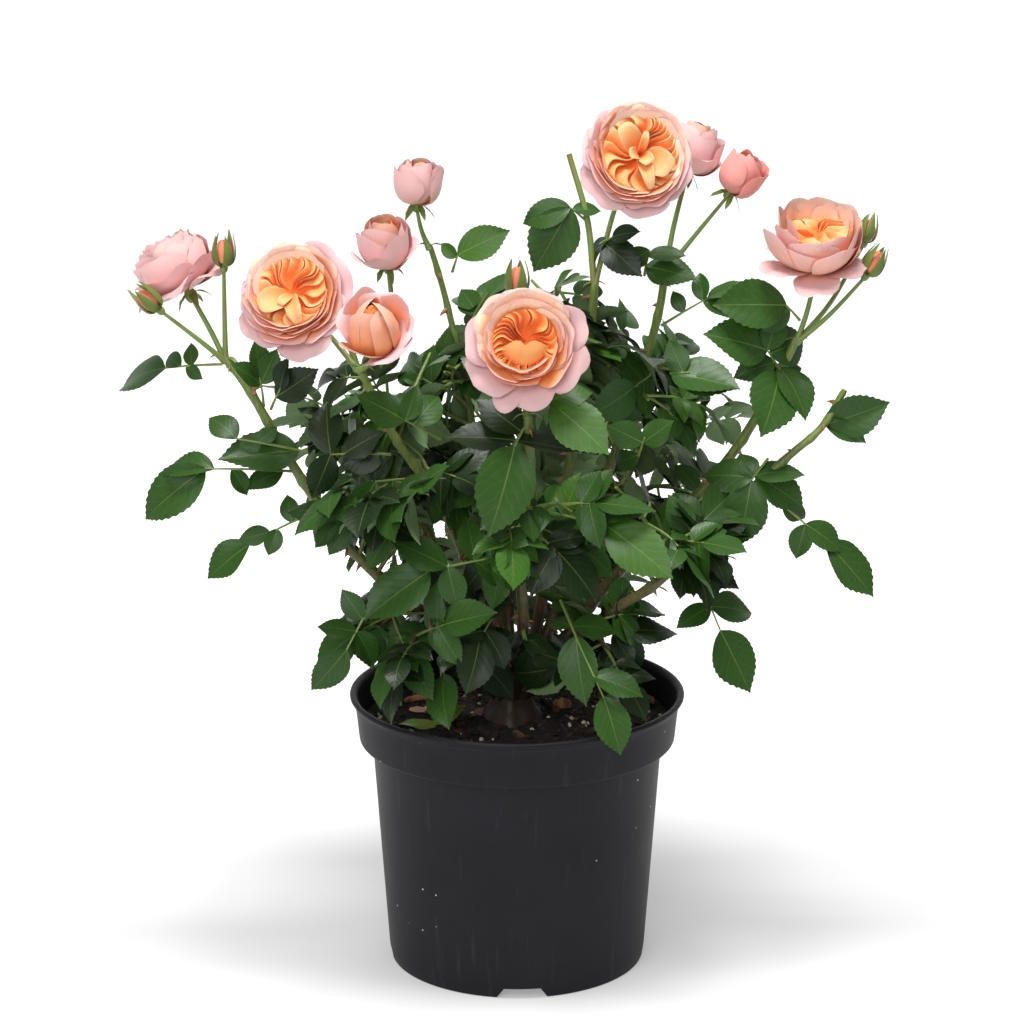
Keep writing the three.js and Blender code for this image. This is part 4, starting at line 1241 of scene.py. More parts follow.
def leaf_skin(name, blade, rib, roughness):
    """A rose leaflet's upper skin: satin wax over green, with a pale midrib and pressed side veins."""
    constants = {"Roughness": roughness, "IOR": 1.42, "Specular IOR Level": 0.36}
    material, tree, shader = new_material(name, constants)
    coords, split, offset = cell_place(tree, LEAF_CELLS)
    midrib = node(tree, "ShaderNodeValToRGB", {"Fac": offset}, stops=[(0.003, grey(0.6)), (0.015, grey(0))])
    # The midrib thins out towards the tip.
    fade = node(tree, "ShaderNodeMath", {0: split.outputs["Y"], 1: -0.85, 2: 1.0}, operation="MULTIPLY_ADD")
    pale = {0: midrib, 1: fade}
    midrib_tone = node(tree, "ShaderNodeMath", pale, operation="MULTIPLY")
    # The side veins lean towards the tip, none quite straight.
    forward = {0: offset, 1: -0.75, 2: split.outputs["Y"]}
    lean = node(tree, "ShaderNodeMath", forward, operation="MULTIPLY_ADD")
    strayed = node(tree, "ShaderNodeTexNoise", {"Vector": coords, "Scale": 9, "Detail": 1})
    drift = {0: strayed, 1: 0.14, 2: lean}
    bent = node(tree, "ShaderNodeMath", drift, operation="MULTIPLY_ADD")
    wave = node(tree, "ShaderNodeMath", {0: bent, 1: VEIN_PAIRS * 2 * math.pi}, operation="MULTIPLY")
    ridge = node(tree, "ShaderNodeMath", {0: wave}, operation="COSINE")
    vein = node(tree, "ShaderNodeValToRGB", {"Fac": ridge}, stops=[(0.8, grey(0)), (1.0, grey(1))])
    mottle = node(tree, "ShaderNodeTexNoise", {"Vector": coords, "Scale": 22, "Detail": 3})
    varied = node(
        tree, "ShaderNodeMix", {0: mottle, 6: blade, 7: tuple(0.72 * c for c in blade)}, data_type="RGBA"
    )
    tinged = tuple(0.98 * b + 0.02 * r for b, r in zip(blade, rib))
    veined = node(tree, "ShaderNodeMix", {0: vein, 6: varied.outputs[2], 7: tinged}, data_type="RGBA")
    ribbed = node(tree, "ShaderNodeMix", {0: midrib_tone, 6: veined.outputs[2], 7: rib}, data_type="RGBA")
    tree.links.new(ribbed.outputs[2], shader.inputs["Base Color"])
    pressed = {0: ridge, 1: -0.5, 2: midrib}
    relief = node(tree, "ShaderNodeMath", pressed, operation="MULTIPLY_ADD")
    bump(tree, shader, relief, 0.12, 0.0004)
    return material


# ---- Flowers ---------------------------------------------------------------------------------------
PETAL_CELLS = 12
BACK = 6  # the cell of a petal's outer face is this much further along
PETAL_ROWS = 8
PETAL_COLUMNS = 10
PETAL_THICK = 0.45
PETAL_SHARP = 100  # degrees; the rim of a petal is drawn smooth


def bezier(a, b, c, d, t):
    """A cubic curve's points and directions at t."""
    t = t[..., None]
    s = 1 - t
    place = s**3 * a + 3 * s * s * t * b + 3 * s * t * t * c + t**3 * d
    slope = 3 * s * s * (b - a) + 6 * s * t * (c - b) + 3 * t * t * (d - c)
    return place, slope


def petal_grid():
    """The faces of a petal: an inner and an outer sheet that share their edge."""
    rows, columns = PETAL_ROWS, PETAL_COLUMNS
    inner = np.arange((rows + 1) * (columns + 1)).reshape(rows + 1, columns + 1)
    outer = inner.copy()
    count = (rows + 1) * (columns + 1)
    outer[1:-1, 1:-1] = count + np.arange((rows - 1) * (columns - 1)).reshape(rows - 1, columns - 1)
    quads, backs = [], []
    for i in range(rows):
        for j in range(columns):
            quads.append([inner[i, j], inner[i, j + 1], inner[i + 1, j + 1], inner[i + 1, j]])
            backs.append([outer[i, j], outer[i + 1, j], outer[i + 1, j + 1], outer[i, j + 1]])
    return np.array(quads), np.array(backs)


PETAL_FACES, PETAL_BACKS = petal_grid()


def add_petal(shape, place, turn, profile, half, cup, cell, rng, form, cells=PETAL_CELLS, back=BACK, swirl=0):
    """One petal. Its profile runs outwards and up from the flower's axis, in millimetres; half is half
    its width, cup the radius that it is curled to across, and turn its bearing about the axis. Form is
    the ruffle, the notch, how round the rim is, the skew that laps petals, and how pointed it is. Swirl
    is how far its tip swings round the axis."""
    at, axis, side = place
    ruffle, notch, rounding, skew, point = form
    other = np.cross(axis, side)
    rows, columns = PETAL_ROWS, PETAL_COLUMNS
    s = np.linspace(0, 1, rows + 1)[:, None] * np.ones(columns + 1)
    t = np.ones(rows + 1)[:, None] * np.linspace(-1, 1, columns + 1)
    t = np.sign(t) * np.abs(t) ** 0.85
    reach = 1 - rounding * np.abs(t) ** 3 - notch * np.exp(-((t / 0.2) ** 2))
    reach = reach + 0.022 * ruffle * np.sin(rng.uniform(3, 7) * t + rng.uniform(0, 6))
    a, b, c, d = (np.array(p, float) for p in profile)
    spot, slope = bezier(a, b, c, d, s * reach)
    slope = slope / np.maximum(np.linalg.norm(slope, axis=-1, keepdims=True), 1e-6)
    # Square to the profile, on the side that looks up and to the axis.
    inward = np.stack([-slope[..., 1], slope[..., 0]], axis=-1)
    spread = 0.3 + 0.7 * np.sin(np.minimum(1, s / 0.72) * math.pi / 2) ** 1.3
    spread = spread * (1 - 0.12 * s**4) * (1 - point * s**1.6)
    bow = t * half * spread / cup
    sideways = cup * np.sin(bow)
    lift = cup * (1 - np.cos(bow)) + skew * sideways
    wave = 0.06 * ruffle * half * s**2 * np.sin(rng.uniform(2.5, 5) * t + rng.uniform(0, 6))
    rim = -0.06 * half * np.clip((s - 0.78) / 0.22, 0, 1) ** 2 * ruffle
    lift = lift + wave + rim
    out = spot[..., 0] + lift * inward[..., 0]
    high = spot[..., 1] + lift * inward[..., 1]
    swung = (turn + swirl * s**2)[..., None]
    bearing = np.cos(swung) * side + np.sin(swung) * other
    tangent = np.cross(axis, bearing)
    inner = at + out[..., None] * bearing + sideways[..., None] * tangent + high[..., None] * axis
    # The upper face lies a petal's thickness nearer to the flower's axis.
    normal = np.cross(np.gradient(inner, axis=1), np.gradient(inner, axis=0))
    normal /= np.maximum(np.linalg.norm(normal, axis=-1, keepdims=True), 1e-9)
    outer = (inner - PETAL_THICK * normal)[1:-1, 1:-1]
    points = np.vstack([inner.reshape(-1, 3), outer.reshape(-1, 3)])
    u = 0.5 + 0.46 * np.linspace(-1, 1, columns + 1)[None, :] * np.ones((rows + 1, 1))
    v = 0.02 + 0.96 * s
    flat_u = np.concatenate([u.ravel(), u[1:-1, 1:-1].ravel()])
    flat_v = np.concatenate([v.ravel(), v[1:-1, 1:-1].ravel()])
    faces = np.vstack([PETAL_FACES, PETAL_BACKS])
    loops = faces.ravel()
    slots = np.concatenate([np.full(len(PETAL_FACES), cell + back), np.full(len(PETAL_BACKS), cell)])
    uvs = np.column_stack([(np.repeat(slots, 4) + flat_u[loops]) / cells, flat_v[loops]])
    shape.add(points, loops, np.full(len(faces), 4), uvs, slots)


def flower_place(name):
    """A flower's middle, its axis and a direction square to it."""
    at, facing, half, kind = flower_frame(name)
    side = unit(np.cross([0.0, 0.0, 1.0] if abs(facing[2]) < 0.8 else [0.0, 1.0, 0.0], facing))
    return (at, facing, side), half, kind


# Rings of petals for each kind, from the outside in: how many, the profile in hundredths of half the
# flower's width, half a petal's width and the curl across as shares of it, (ruffle, rounding, skew), and
# the finish.
RINGS = {
    "cupped": [
        (5, ((5, -58), (50, -66), (74, -34), (102, -50)), 0.56, 2.2, (1.7, 0.2, 0.14), GUARD),
        (5, ((5, -54), (55, -62), (78, -22), (88, -10)), 0.56, 0.95, (1.2, 0.18, 0.12), GUARD),
        (5, ((5, -52), (62, -60), (78, -10), (70, 24)), 0.6, 0.7, (0.8, 0.16, 0.1), RING),
        (5, ((5, -50), (58, -58), (72, -2), (62, 34)), 0.56, 0.62, (0.8, 0.14, 0.1), RING),
        (5, ((5, -48), (52, -54), (64, 2), (54, 40)), 0.5, 0.54, (0.8, 0.14, 0.1), CUP),
        (5, ((5, -46), (46, -50), (56, 4), (50, 44)), 0.44, 0.5, (1.0, 0.16, 0.1), HEART),
        (5, ((5, -40), (40, -44), (46, 6), (42, 49)), 0.34, 0.34, (1.0, 0.16, 0.16), HEART),
        (4, ((5, -36), (28, -38), (32, 10), (28, 50)), 0.3, 0.24, (1.0, 0.16, 0.16), HEART),
        (3, ((3, -30), (14, -32), (16, 12), (12, 46)), 0.2, 0.14, (1.0, 0.16, 0.16), HEART),
    ],
    "half": [
        (3, ((5, -78), (62, -94), (84, -30), (106, -16)), 0.8, 1.3, (1.4, 0.12, 0.12), GUARD),
        (3, ((5, -76), (84, -90), (90, 2), (74, 50)), 0.96, 0.84, (0.8, 0.1, 0.14), GUARD),
        (3, ((5, -74), (74, -84), (80, 10), (54, 72)), 0.86, 0.7, (0.5, 0.1, 0.14), RING),
        (3, ((5, -72), (62, -78), (68, 16), (38, 80)), 0.66, 0.48, (0.4, 0.12, 0.14), CUP),
        (3, ((5, -68), (50, -72), (54, 20), (26, 82)), 0.5, 0.36, (0.4, 0.12, 0.14), CUP),
        (3, ((3, -64), (36, -66), (38, 22), (15, 78)), 0.36, 0.24, (0.4, 0.12, 0.14), HEART),
        (3, ((2, -60), (20, -60), (22, 22), (7, 72)), 0.22, 0.14, (0.4, 0.12, 0.14), HEART),
    ],
    "opening": [
        (3, ((5, -86), (98, -100), (106, 10), (84, 74)), 1.1, 0.9, (1.2, 0.1, 0.14), GUARD),
        (3, ((5, -84), (90, -96), (96, 20), (64, 88)), 1.0, 0.8, (0.7, 0.1, 0.14), GUARD),
        (3, ((5, -82), (78, -90), (82, 26), (46, 92)), 0.78, 0.58, (0.5, 0.12, 0.14), RING),
        (3, ((5, -80), (62, -84), (66, 28), (30, 94)), 0.6, 0.44, (0.4, 0.12, 0.14), CUP),
        (3, ((3, -76), (42, -78), (44, 30), (15, 90)), 0.4, 0.26, (0.4, 0.12, 0.14), HEART),
    ],
    "bud": [
        (3, ((5, -76), (98, -84), (86, 40), (16, 98)), 0.95, 0.72, (0.2, 0.3, 0.12), GUARD),
        (3, ((5, -74), (84, -80), (72, 44), (8, 106)), 0.8, 0.56, (0.2, 0.3, 0.12), RING),
    ],
}
# The cell that each petal takes instead on a bloom that has paled with age and on one that has just opened.
RECOLOURED = {
    "bloom_far_left": (GUARD, GUARD, RING, GUARD),
    "bud_opening_right": (YOUNG, YOUNG, YOUNG, YOUNG),
}
# How deep the feet of the petals lie under the flower's middle, as a share of half its width.
FOOT_DEPTH = {"open": 0.42, "cupped": 0.58, "half": 0.8}


# One fold of a heart from valley to valley: share of its width, of its height, and of the way to its rim's
# pale colour.
# The orange of a fold's valleys is partly the petals' own colour and partly painted shade in the creases.
PLEAT = np.array(
    [
        (0, 0, 0), (0.25, 0.3, 0.35), (0.55, 0.7, 0.7), (0.76, 0.95, 0.95), (0.86, 1, 1), (0.91, 0.84, 0.7),
        (0.84, 0.4, 0.2), (0.9, 0.05, 0),
    ]
)
PLEAT_ROWS = 14


def add_pleats(shape, seat, half, reach, count, floor, rise, depth, paleness, rng):
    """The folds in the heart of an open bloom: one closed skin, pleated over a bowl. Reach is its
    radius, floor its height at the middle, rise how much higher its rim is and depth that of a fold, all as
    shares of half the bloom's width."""
    at, axis, side = seat
    other = np.cross(axis, side)
    share = np.linspace(0.06, 1, PLEAT_ROWS + 1)[:, None]
    bounds = np.concatenate([[0], np.cumsum(rng.uniform(0.6, 1.4, count))])
    bounds = bounds / bounds[-1] * 2 * math.pi
    angles, heights, tones, starts = [], [], [], []
    for start, end in zip(bounds, bounds[1:]):
        leaning, height, tone = PLEAT.T
        if rng.random() < 0.4:
            # This one leans the other way.
            leaning, height, tone = (np.append(0, row[:0:-1]) for row in (1 - leaning, height, tone))
        angles.append(start + (end - start) * leaning)
        heights.append(height * rng.uniform(0.6, 1.3))
        tones.append(tone * rng.uniform(0.7, 1.1))
        starts.append(np.full(len(tone), rng.choice([0, 0.1, 0.3, 0.45])))
    parts = (np.concatenate(rows)[None, :] for rows in (angles, heights, tones, starts))
    angle, height, tone, begun = parts
    columns = angle.shape[1]
    first, second = rng.uniform(0, 2 * math.pi, 2)
    # The folds sway together, so that none crosses the next.
    swayed = angle + 0.42 * share * np.sin(angle + first)
    swayed = swayed + 0.16 * np.sin(math.pi * share) * np.sin(3 * angle + second)
    swayed = swayed + 0.16 * np.sin(2 * math.pi * share)
    grown = np.clip((share - begun) / 0.3, 0, 1)
    swell = grown**1.3 * (1 - 0.75 * np.clip((share - 0.6) / 0.4, 0, 1) ** 1.5)
    high = (floor + rise * share**2 + depth * swell * height) * half
    out = share * reach * half * np.ones((1, columns))
    spokes = np.cos(swayed)[..., None] * side + np.sin(swayed)[..., None] * other
    top = at + out[..., None] * spokes + high[..., None] * axis
    under = at + 0.98 * reach * half * spokes[-1] + (floor + min(rise, 0) - 0.04) * half * axis
    ends = np.array([at + (floor - 0.02) * half * axis, at + (floor + min(rise, 0) - 0.08) * half * axis])
    points = np.vstack([top.reshape(-1, 3), under, ends])
    here = np.arange(columns)
    beyond = (here + 1) % columns
    faces = []
    for i in range(PLEAT_ROWS + 1):
        a, b = i * columns, (i + 1) * columns
        faces.append(np.column_stack([a + here, b + here, b + beyond, a + beyond]))
    middle, bottom = len(points) - 2, len(points) - 1
    last = (PLEAT_ROWS + 1) * columns
    crown = np.column_stack([np.full(columns, middle), here, beyond])
    base = np.column_stack([np.full(columns, bottom), last + beyond, last + here])
    loops = np.concatenate([np.vstack(faces).ravel(), crown.ravel(), base.ravel()])
    totals = np.concatenate([np.full(len(faces) * columns, 4), np.full(2 * columns, 3)])
    # Valleys take the orange and crests the pale colour: partly the folds' own colouring, partly painted
    # shade between them.
    pale = (tone * grown * (0.45 + 0.45 * share) + 0.15 * share) * paleness
    v = np.concatenate([(0.06 + 0.9 * pale).ravel(), np.full(columns + 2, 0.06)])
    u = 0.5 + 0.3 * (2 * share - 1) * np.ones((1, columns))
    u = np.concatenate([u.ravel(), np.full(columns + 2, 0.5)])
    uvs = np.column_stack([(HEART + u[loops]) / PETAL_CELLS, v[loops]])
    shape.add(points, loops, totals, uvs, HEART)


def add_own_petals(shape, name, place, half, kind, rng):
    """The petals of a bloom that has its own list."""
    (at, axis, side), depth = place, FOOT_DEPTH[kind]
    other = np.cross(axis, side)
    own = OWN_PETALS[name]
    seat = (at + (own["shift"][0] * side + own["shift"][1] * other) * half, axis, side)
    for stance, (line, curl, (ruffle, rounding, skew), cell) in STANCES.items():
        for bearing, *shares in own.get(stance, ()):
            reach, height, width, *notch = (share / 100 for share in shares)
            reach = reach * rng.uniform(0.98, 1.02)
            height = height + rng.uniform(-0.015, 0.015)
            profile = [(r * reach * half, (h * height - d * depth) * half) for r, h, d in line]
            swirl = rng.uniform(-0.4, 0.4) if stance == "tongue" else 0
            form = (ruffle, notch[0] if notch else 0, rounding, skew, 0)
            radius = curl * reach * half
            turn = math.radians(bearing)
            add_petal(shape, seat, turn, profile, width * half, radius, cell, rng, form, swirl=swirl)
    if "pleats" in own:
        add_pleats(shape, seat, half, *own["pleats"], rng)


def add_flower(shape, name, rng):
    """The petals of one flower, from its own list or ring inside ring."""
    place, half, kind = flower_place(name)
    if name in OWN_PETALS:
        add_own_petals(shape, name, place, half, kind, rng)
        return
    for count, profile, width, cup, (ruffle, rounding, skew), cell in RINGS[kind]:
        if name in RECOLOURED:
            cell = RECOLOURED[name][cell]
        start = rng.uniform(0, 2 * math.pi)
        for i in range(count):
            turn = start + (i + rng.uniform(-0.14, 0.14)) * 2 * math.pi / count
            scale = half * rng.uniform(0.96, 1.03)
            shaped = [(r / 100 * scale, z / 100 * half) for r, z in profile]
            shaped[3] = (shaped[3][0], shaped[3][1] + rng.uniform(-0.03, 0.03) * half)
            notch = rng.choice([0, 0, 0.06, 0.13]) if cell == GUARD and kind != "bud" else 0
            form = (ruffle, notch, rounding, skew, 0)
            add_petal(shape, place, turn, shaped, width * half, cup * half, cell, rng, form)


def add_hip(shape, name, rng):
    """The hip under a flower and its five sepals: folded back under an open one, upright on a bud."""
    (at, axis, side), half, kind = flower_place(name)
    low = REACH[kind][0] * half
    hip_height = 4.5 + 0.1 * half
    hip_width = 3.4 + 0.035 * half if kind != "bud" else 3.0
    base = at + low * axis
    steps = np.linspace(0, 1, 8)
    path = base[None, :] + (steps * hip_height * 1.5)[:, None] * axis
    radii = hip_width * np.sin(np.clip(0.2 + 0.86 * steps, 0, 1) * math.pi) ** 0.6 * (0.9 + 0.25 * steps)
    tube(shape, path, np.maximum(radii, 1.2), 12)
    other = np.cross(axis, side)
    top = base + axis * hip_height * 0.95
    sepal = {"open": 15, "cupped": 15, "half": 14, "opening": 15, "bud": 25}[kind]
    for i in range(5):
        bearing = i * 2 * math.pi / 5 + rng.uniform(-0.2, 0.2)
        out = math.cos(bearing) * side + math.sin(bearing) * other
        if kind == "bud":
            # A sepal hugs the bud and ends in a long point clear of it.
            flare = rng.uniform(0.2, 0.75)
            profile = [(0.2, -1.05), (1.25, -0.95), (1.0, 0.5), (flare, rng.uniform(1.3, 1.75))]
            shaped = [(r * half, z * half) for r, z in profile]
            form = (0.4, 0, 0, 0, 0.94)
            add_petal(shape, (at, axis, side), bearing, shaped, 0.66 * half, 0.8 * half, 3, rng, form, 4, -2)
            continue
        heading = unit(out - axis * rng.uniform(0.3, 0.9))
        start = top + out * hip_width * 0.5
        add_leaflet(shape, start, heading, axis, sepal, sepal * 0.3, 1, rng, bend=0.5, fold=0.35)


def add_bracts(shape, name, rng):
    """Two narrow curled bracts at the fork of a truss."""
    fork = np.array(TRUSSES[name][0], float)
    for side in (-1, 1):
        heading = unit((side * rng.uniform(0.6, 1.0), rng.uniform(-0.6, 0.2), rng.uniform(0.1, 0.7)))
        size = rng.uniform(9, 15)
        add_leaflet(shape, fork, heading, UP - 0.3 * heading, size, 0.3 * size, 1, rng, bend=1.3, fold=0.5)


# The finish of each petal cell: where along the petal each colour stands, the upper faces before the others.
FINISHES = (
    ("Rose petal, outer", (0.08, "base"), (0.3, "blush"), (0.7, "guard"), (1.0, "guard")),
    ("Rose petal, ring", (0.25, "orange"), (0.55, "apricot"), (0.75, "peach"), (0.97, "guard")),
    ("Rose petal, cup", (0.4, "orange"), (0.74, "apricot"), (0.9, "peach"), (1.0, "guard")),
    ("Rose petal, heart", (0.15, "orange"), (0.5, "apricot"), (0.85, "pale"), (1.0, "pale")),
    # The slope finish is painted glow: its brighter apricot, cream and halo stand in for light coming through
    # petals in shade.
    ("Rose petal, slope, painted glow", (0.5, "apricot"), (0.72, "glow"), (0.88, "painted_glow_cream"), (1.0, "halo")),
    ("Rose petal, opening", (0.2, "apricot"), (0.5, "young"), (1.0, "young")),
    ("Rose petal back, outer", (0.06, "base"), (0.2, "salmon"), (0.55, "rose"), (1.0, "rose")),
    ("Rose petal back, ring", (0.1, "base"), (0.3, "salmon"), (0.7, "salmon"), (0.95, "rose")),
    ("Rose petal back, cup", (0.1, "base"), (0.4, "apricot"), (0.8, "peach"), (1.0, "salmon")),
    ("Rose petal back, heart", (0.3, "orange"), (0.9, "apricot"), (1.0, "apricot")),
    ("Rose petal back, slope", (0.1, "base"), (0.3, "salmon"), (0.7, "salmon"), (0.95, "rose")),
    ("Rose petal back, opening", (0.06, "base"), (0.24, "young"), (1.0, "young")),
)
BUD_FINISH = ("Rose petal, bud", (0.3, "apricot"), (0.65, "coral"), (1.0, "coral"))


def petal_skin(looks, name, *tones):
    """A rose petal: matte, faintly velvety, slightly translucent, shaded from base to rim, finely veined."""
    constants = {
        "Roughness": 0.62,
        "Specular IOR Level": 0.3,
        "Sheen Weight": 0.06,
        "Sheen Roughness": 0.5,
        "Subsurface Weight": 0.2,
        "Subsurface Radius": (1.0, 0.6, 0.4),
        "Subsurface Scale": 0.0015,
    }
    material, tree, shader = new_material(name, constants)
    coords, split, aside = cell_place(tree, PETAL_CELLS)
    drawn = node(tree, "ShaderNodeMapping", {"Vector": coords, "Scale": (PETAL_CELLS * 26, 2.2, 1)})
    streaks = node(tree, "ShaderNodeTexNoise", {"Vector": drawn, "Scale": 1, "Detail": 3})
    moved = node(
        tree, "ShaderNodeMath", {0: streaks, 1: 0.16, 2: split.outputs["Y"]}, operation="MULTIPLY_ADD"
    )
    shifted = node(tree, "ShaderNodeMath", {0: moved, 1: 0.08}, operation="SUBTRACT")
    # The sides of a petal take the colour of its rim too.
    doubled = node(tree, "ShaderNodeMath", {0: aside, 1: 2.1}, operation="MULTIPLY")
    side = node(tree, "ShaderNodeMath", {0: doubled, 1: 4.0}, operation="POWER")
    either = node(tree, "ShaderNodeMath", {0: shifted, 1: side}, operation="MAXIMUM")
    stops = [(stand, getattr(looks, tone)) for stand, tone in tones]
    tone = node(tree, "ShaderNodeValToRGB", {"Fac": either}, stops=stops)
    tree.links.new(tone.outputs["Color"], shader.inputs["Base Color"])
    bump(tree, shader, streaks, 0.25, 0.0004)
    return material


# ---- What a user may change ------------------------------------------------------------------------
class RosePot(bpy.types.PropertyGroup):
    """Finish of the pot."""

    plastic: colour("Plastic", "#110f15", "Moulded polypropylene in its own colour")
    plastic_worn: colour("Worn plastic", "#1a191f", "Where the plastic has paled")
    scuff: colour("Scuffs", "#48474d", "Rubbed lines up the wall")
    dust: colour("Dust", "#c9c6c2", "Specks of dust and grit")


class RoseSoil(bpy.types.PropertyGroup):
    """Finish of the compost and what lies on it."""

    damp: colour("Damp compost", "#0c0908", "Peat in its hollows")
    dry: colour("Dry compost", "#1b130e", "Peat on its crumbs")
    fibre: colour("Fibres", "#3a281c", "Wood fibre in the peat")
    chip: colour("Bark chips", "#3e2519", "Most of the chips")
    chip_dark: colour("Dark chips", "#1c110c", "Wet and old chips")
    chip_pale: colour("Pale chips", "#8a6242", "Freshly split chips")
    split: colour("Split wood", "#a8764e", "Lumps of wood that lie on top")
    perlite: colour("Perlite", "#cfc8a8", "Clean perlite beads")
    perlite_dirty: colour("Stained perlite", "#9a917f", "Beads that took up peat")
    chips: IntProperty(name="Chips", description="How many bark chips lie on top", default=420, min=0)
    beads: IntProperty(name="Beads", description="How many perlite beads lie on top", default=110, min=0)


class RoseWood(bpy.types.PropertyGroup):
    """Finish of the canes, stalks and thorns."""

    bark_old: colour("Old bark", "#2a1d15", "Corky bark at the stump")
    bark_brown: colour("Brown bark", "#5a4229", "Bark of the lower canes")
    bark_young: colour("Green bark", "#5d6b2e", "Bark of this year's canes")
    bark_tip: colour("Tip bark", "#6d8038", "Bark under the flowers")
    stalk: colour("Stalk", "#6c8440", "Flower stalks")
    stalk_red: colour("Flushed stalk", "#84583a", "Where a stalk reddens")
    thorn: colour("Thorn", "#7d4630", "Ripe prickles")
    thorn_pale: colour("Young thorn", "#a87352", "Prickles that have not dried")
    thorn_length: amount("Thorn length", 7, "From the bark to the point, in millimetres")
    thorns_per_metre: amount("Thorns", 70, "How many for each metre of cane")


class RoseLeaves(bpy.types.PropertyGroup):
    """Size and finish of the leaves."""

    # The shaded green is painted shade: a darker copy of the leaf green, for leaves inside and low in the
    # bush.
    painted_shade_green: colour("Shaded green", "#15290d", "Upper side of leaves inside the bush")
    middle: colour("Green", "#2d4f1a", "Upper side of most outer leaves")
    bright: colour("Young green", "#395f1b", "Upper side of the youngest leaves")
    yellowed: colour("Yellowed green", "#7f9440", "Leaflets that have fallen")
    rib: colour("Midrib", "#7b9148", "Midrib and veins")
    under: colour("Underside", "#6f8a5c", "Matte lower side")
    sepal: colour("Sepal", "#677838", "Outer side of a sepal on a bud")
    sepal_back: colour("Sepal back", "#8fa06a", "Downy inner side of a sepal")
    roughness: amount("Roughness", 0.4, "Of the waxed upper side", max=1)
    leaflet: amount("Leaflet", 36, "Length of a middling leaflet, in millimetres")
    leaf_density: amount("Density", 0.9, "Share of the leaves that are grown")
    seed: IntProperty(name="Seed", description="Changes how the leaves fall", default=11)


class RosePetals(bpy.types.PropertyGroup):
    """Finish of the petals, from the outermost to the heart."""

    guard: colour("Outer petals", "#d1aaab", "Faded rims of the outermost petals")
    blush: colour("Blush", "#e0a390", "Middle of the petals")
    peach: colour("Peach", "#e89d78", "Petals of the cup")
    apricot: colour("Apricot", "#e59b5c", "Petals of the heart")
    # Pale crests against orange valleys in the folds of a heart are partly painted shade.
    pale: colour("Pale apricot", "#dcae7c", "Crests of the folds in the heart")
    # The glowing apricot is painted light: a brighter colour for light coming through petals in shade.
    glow: colour("Glowing apricot", "#f6bd8d", "Petals that light comes through")
    young: colour("Young coral", "#dd918a", "A bud that has just opened")
    salmon: colour("Salmon", "#edb3a3", "Undersides of the cupped petals")
    rose: colour("Rose", "#edbdbb", "Undersides of the outer petals")
    # Halo and cream are painted light too: pale colours for light coming through rims in shade.
    halo: colour("Halo", "#dfb8b2", "The palest rims, that light comes through")
    painted_glow_cream: colour("Cream", "#efc9b0", "Rims that light comes through")
    orange: colour("Orange", "#e8702d", "Deep in the heart")
    coral: colour("Coral", "#d67e60", "Petals that a bud still holds shut")
    base: colour("Petal base", "#f2c45c", "Yellow foot of each petal")


class RoseStage(bpy.types.PropertyGroup):
    """Light and floor."""

    backdrop: colour("Backdrop", "#c4c4c4", "Floor and wall behind")
    glow: amount("Backdrop glow", 0.3, "Light that the backdrop gives by itself")
    key: amount("Overhead light", 72, "Power of the large light above")
    fill: amount("Front light", 53, "Power of the soft light in front")
    behind: amount("Backdrop light", 60, "Power of the light on the sweep behind")
    world: amount("Surround", 0.33, "Brightness of the white surround")


GROUPS = {
    "rose_pot": RosePot,
    "rose_soil": RoseSoil,
    "rose_wood": RoseWood,
    "rose_leaves": RoseLeaves,
    "rose_petals": RosePetals,
    "rose_stage": RoseStage,
}


# ---- Scatters made by Geometry Nodes ---------------------------------------------------------------
def scatter_tree(name, inputs, chosen=None):
    """A geometry tree with named inputs, as (tree, input node, points on the faces that chosen picks)."""
    tree = bpy.data.node_groups.new(name, "GeometryNodeTree")
    tree.interface.new_socket("Geometry", in_out="INPUT", socket_type="NodeSocketGeometry")
    for label, kind in {"Per square metre": "Float", "Seed": "Int", "Material": "Material", **inputs}.items():
        tree.interface.new_socket(label, in_out="INPUT", socket_type="NodeSocket" + kind)
    tree.interface.new_socket("Geometry", in_out="OUTPUT", socket_type="NodeSocketGeometry")
    given = node(tree, "NodeGroupInput")
    places = {"Mesh": given.outputs["Geometry"], "Density": given.outputs["Per square metre"]}
    if chosen:
        places["Selection"] = chosen(tree)
    places["Seed"] = given.outputs["Seed"]
    return tree, given, node(tree, "GeometryNodeDistributePointsOnFaces", places)


def finish_tree(tree, instances, material):
    """Ends a geometry tree: real geometry, its material, and the output."""
    real = node(tree, "GeometryNodeRealizeInstances", {"Geometry": instances})
    painted = node(tree, "GeometryNodeSetMaterial", {"Geometry": real, "Material": material})
    node(tree, "NodeGroupOutput", {"Geometry": painted})


def over_compost(tree):
    """Whether a face of the canes is high enough over the compost to have thorns."""
    height = node(tree, "ShaderNodeSeparateXYZ", {"Vector": node(tree, "GeometryNodeInputPosition")})
    start = {0: height.outputs["Z"], 1: THORNS_START * MM}
    return node(tree, "ShaderNodeMath", start, operation="GREATER_THAN")


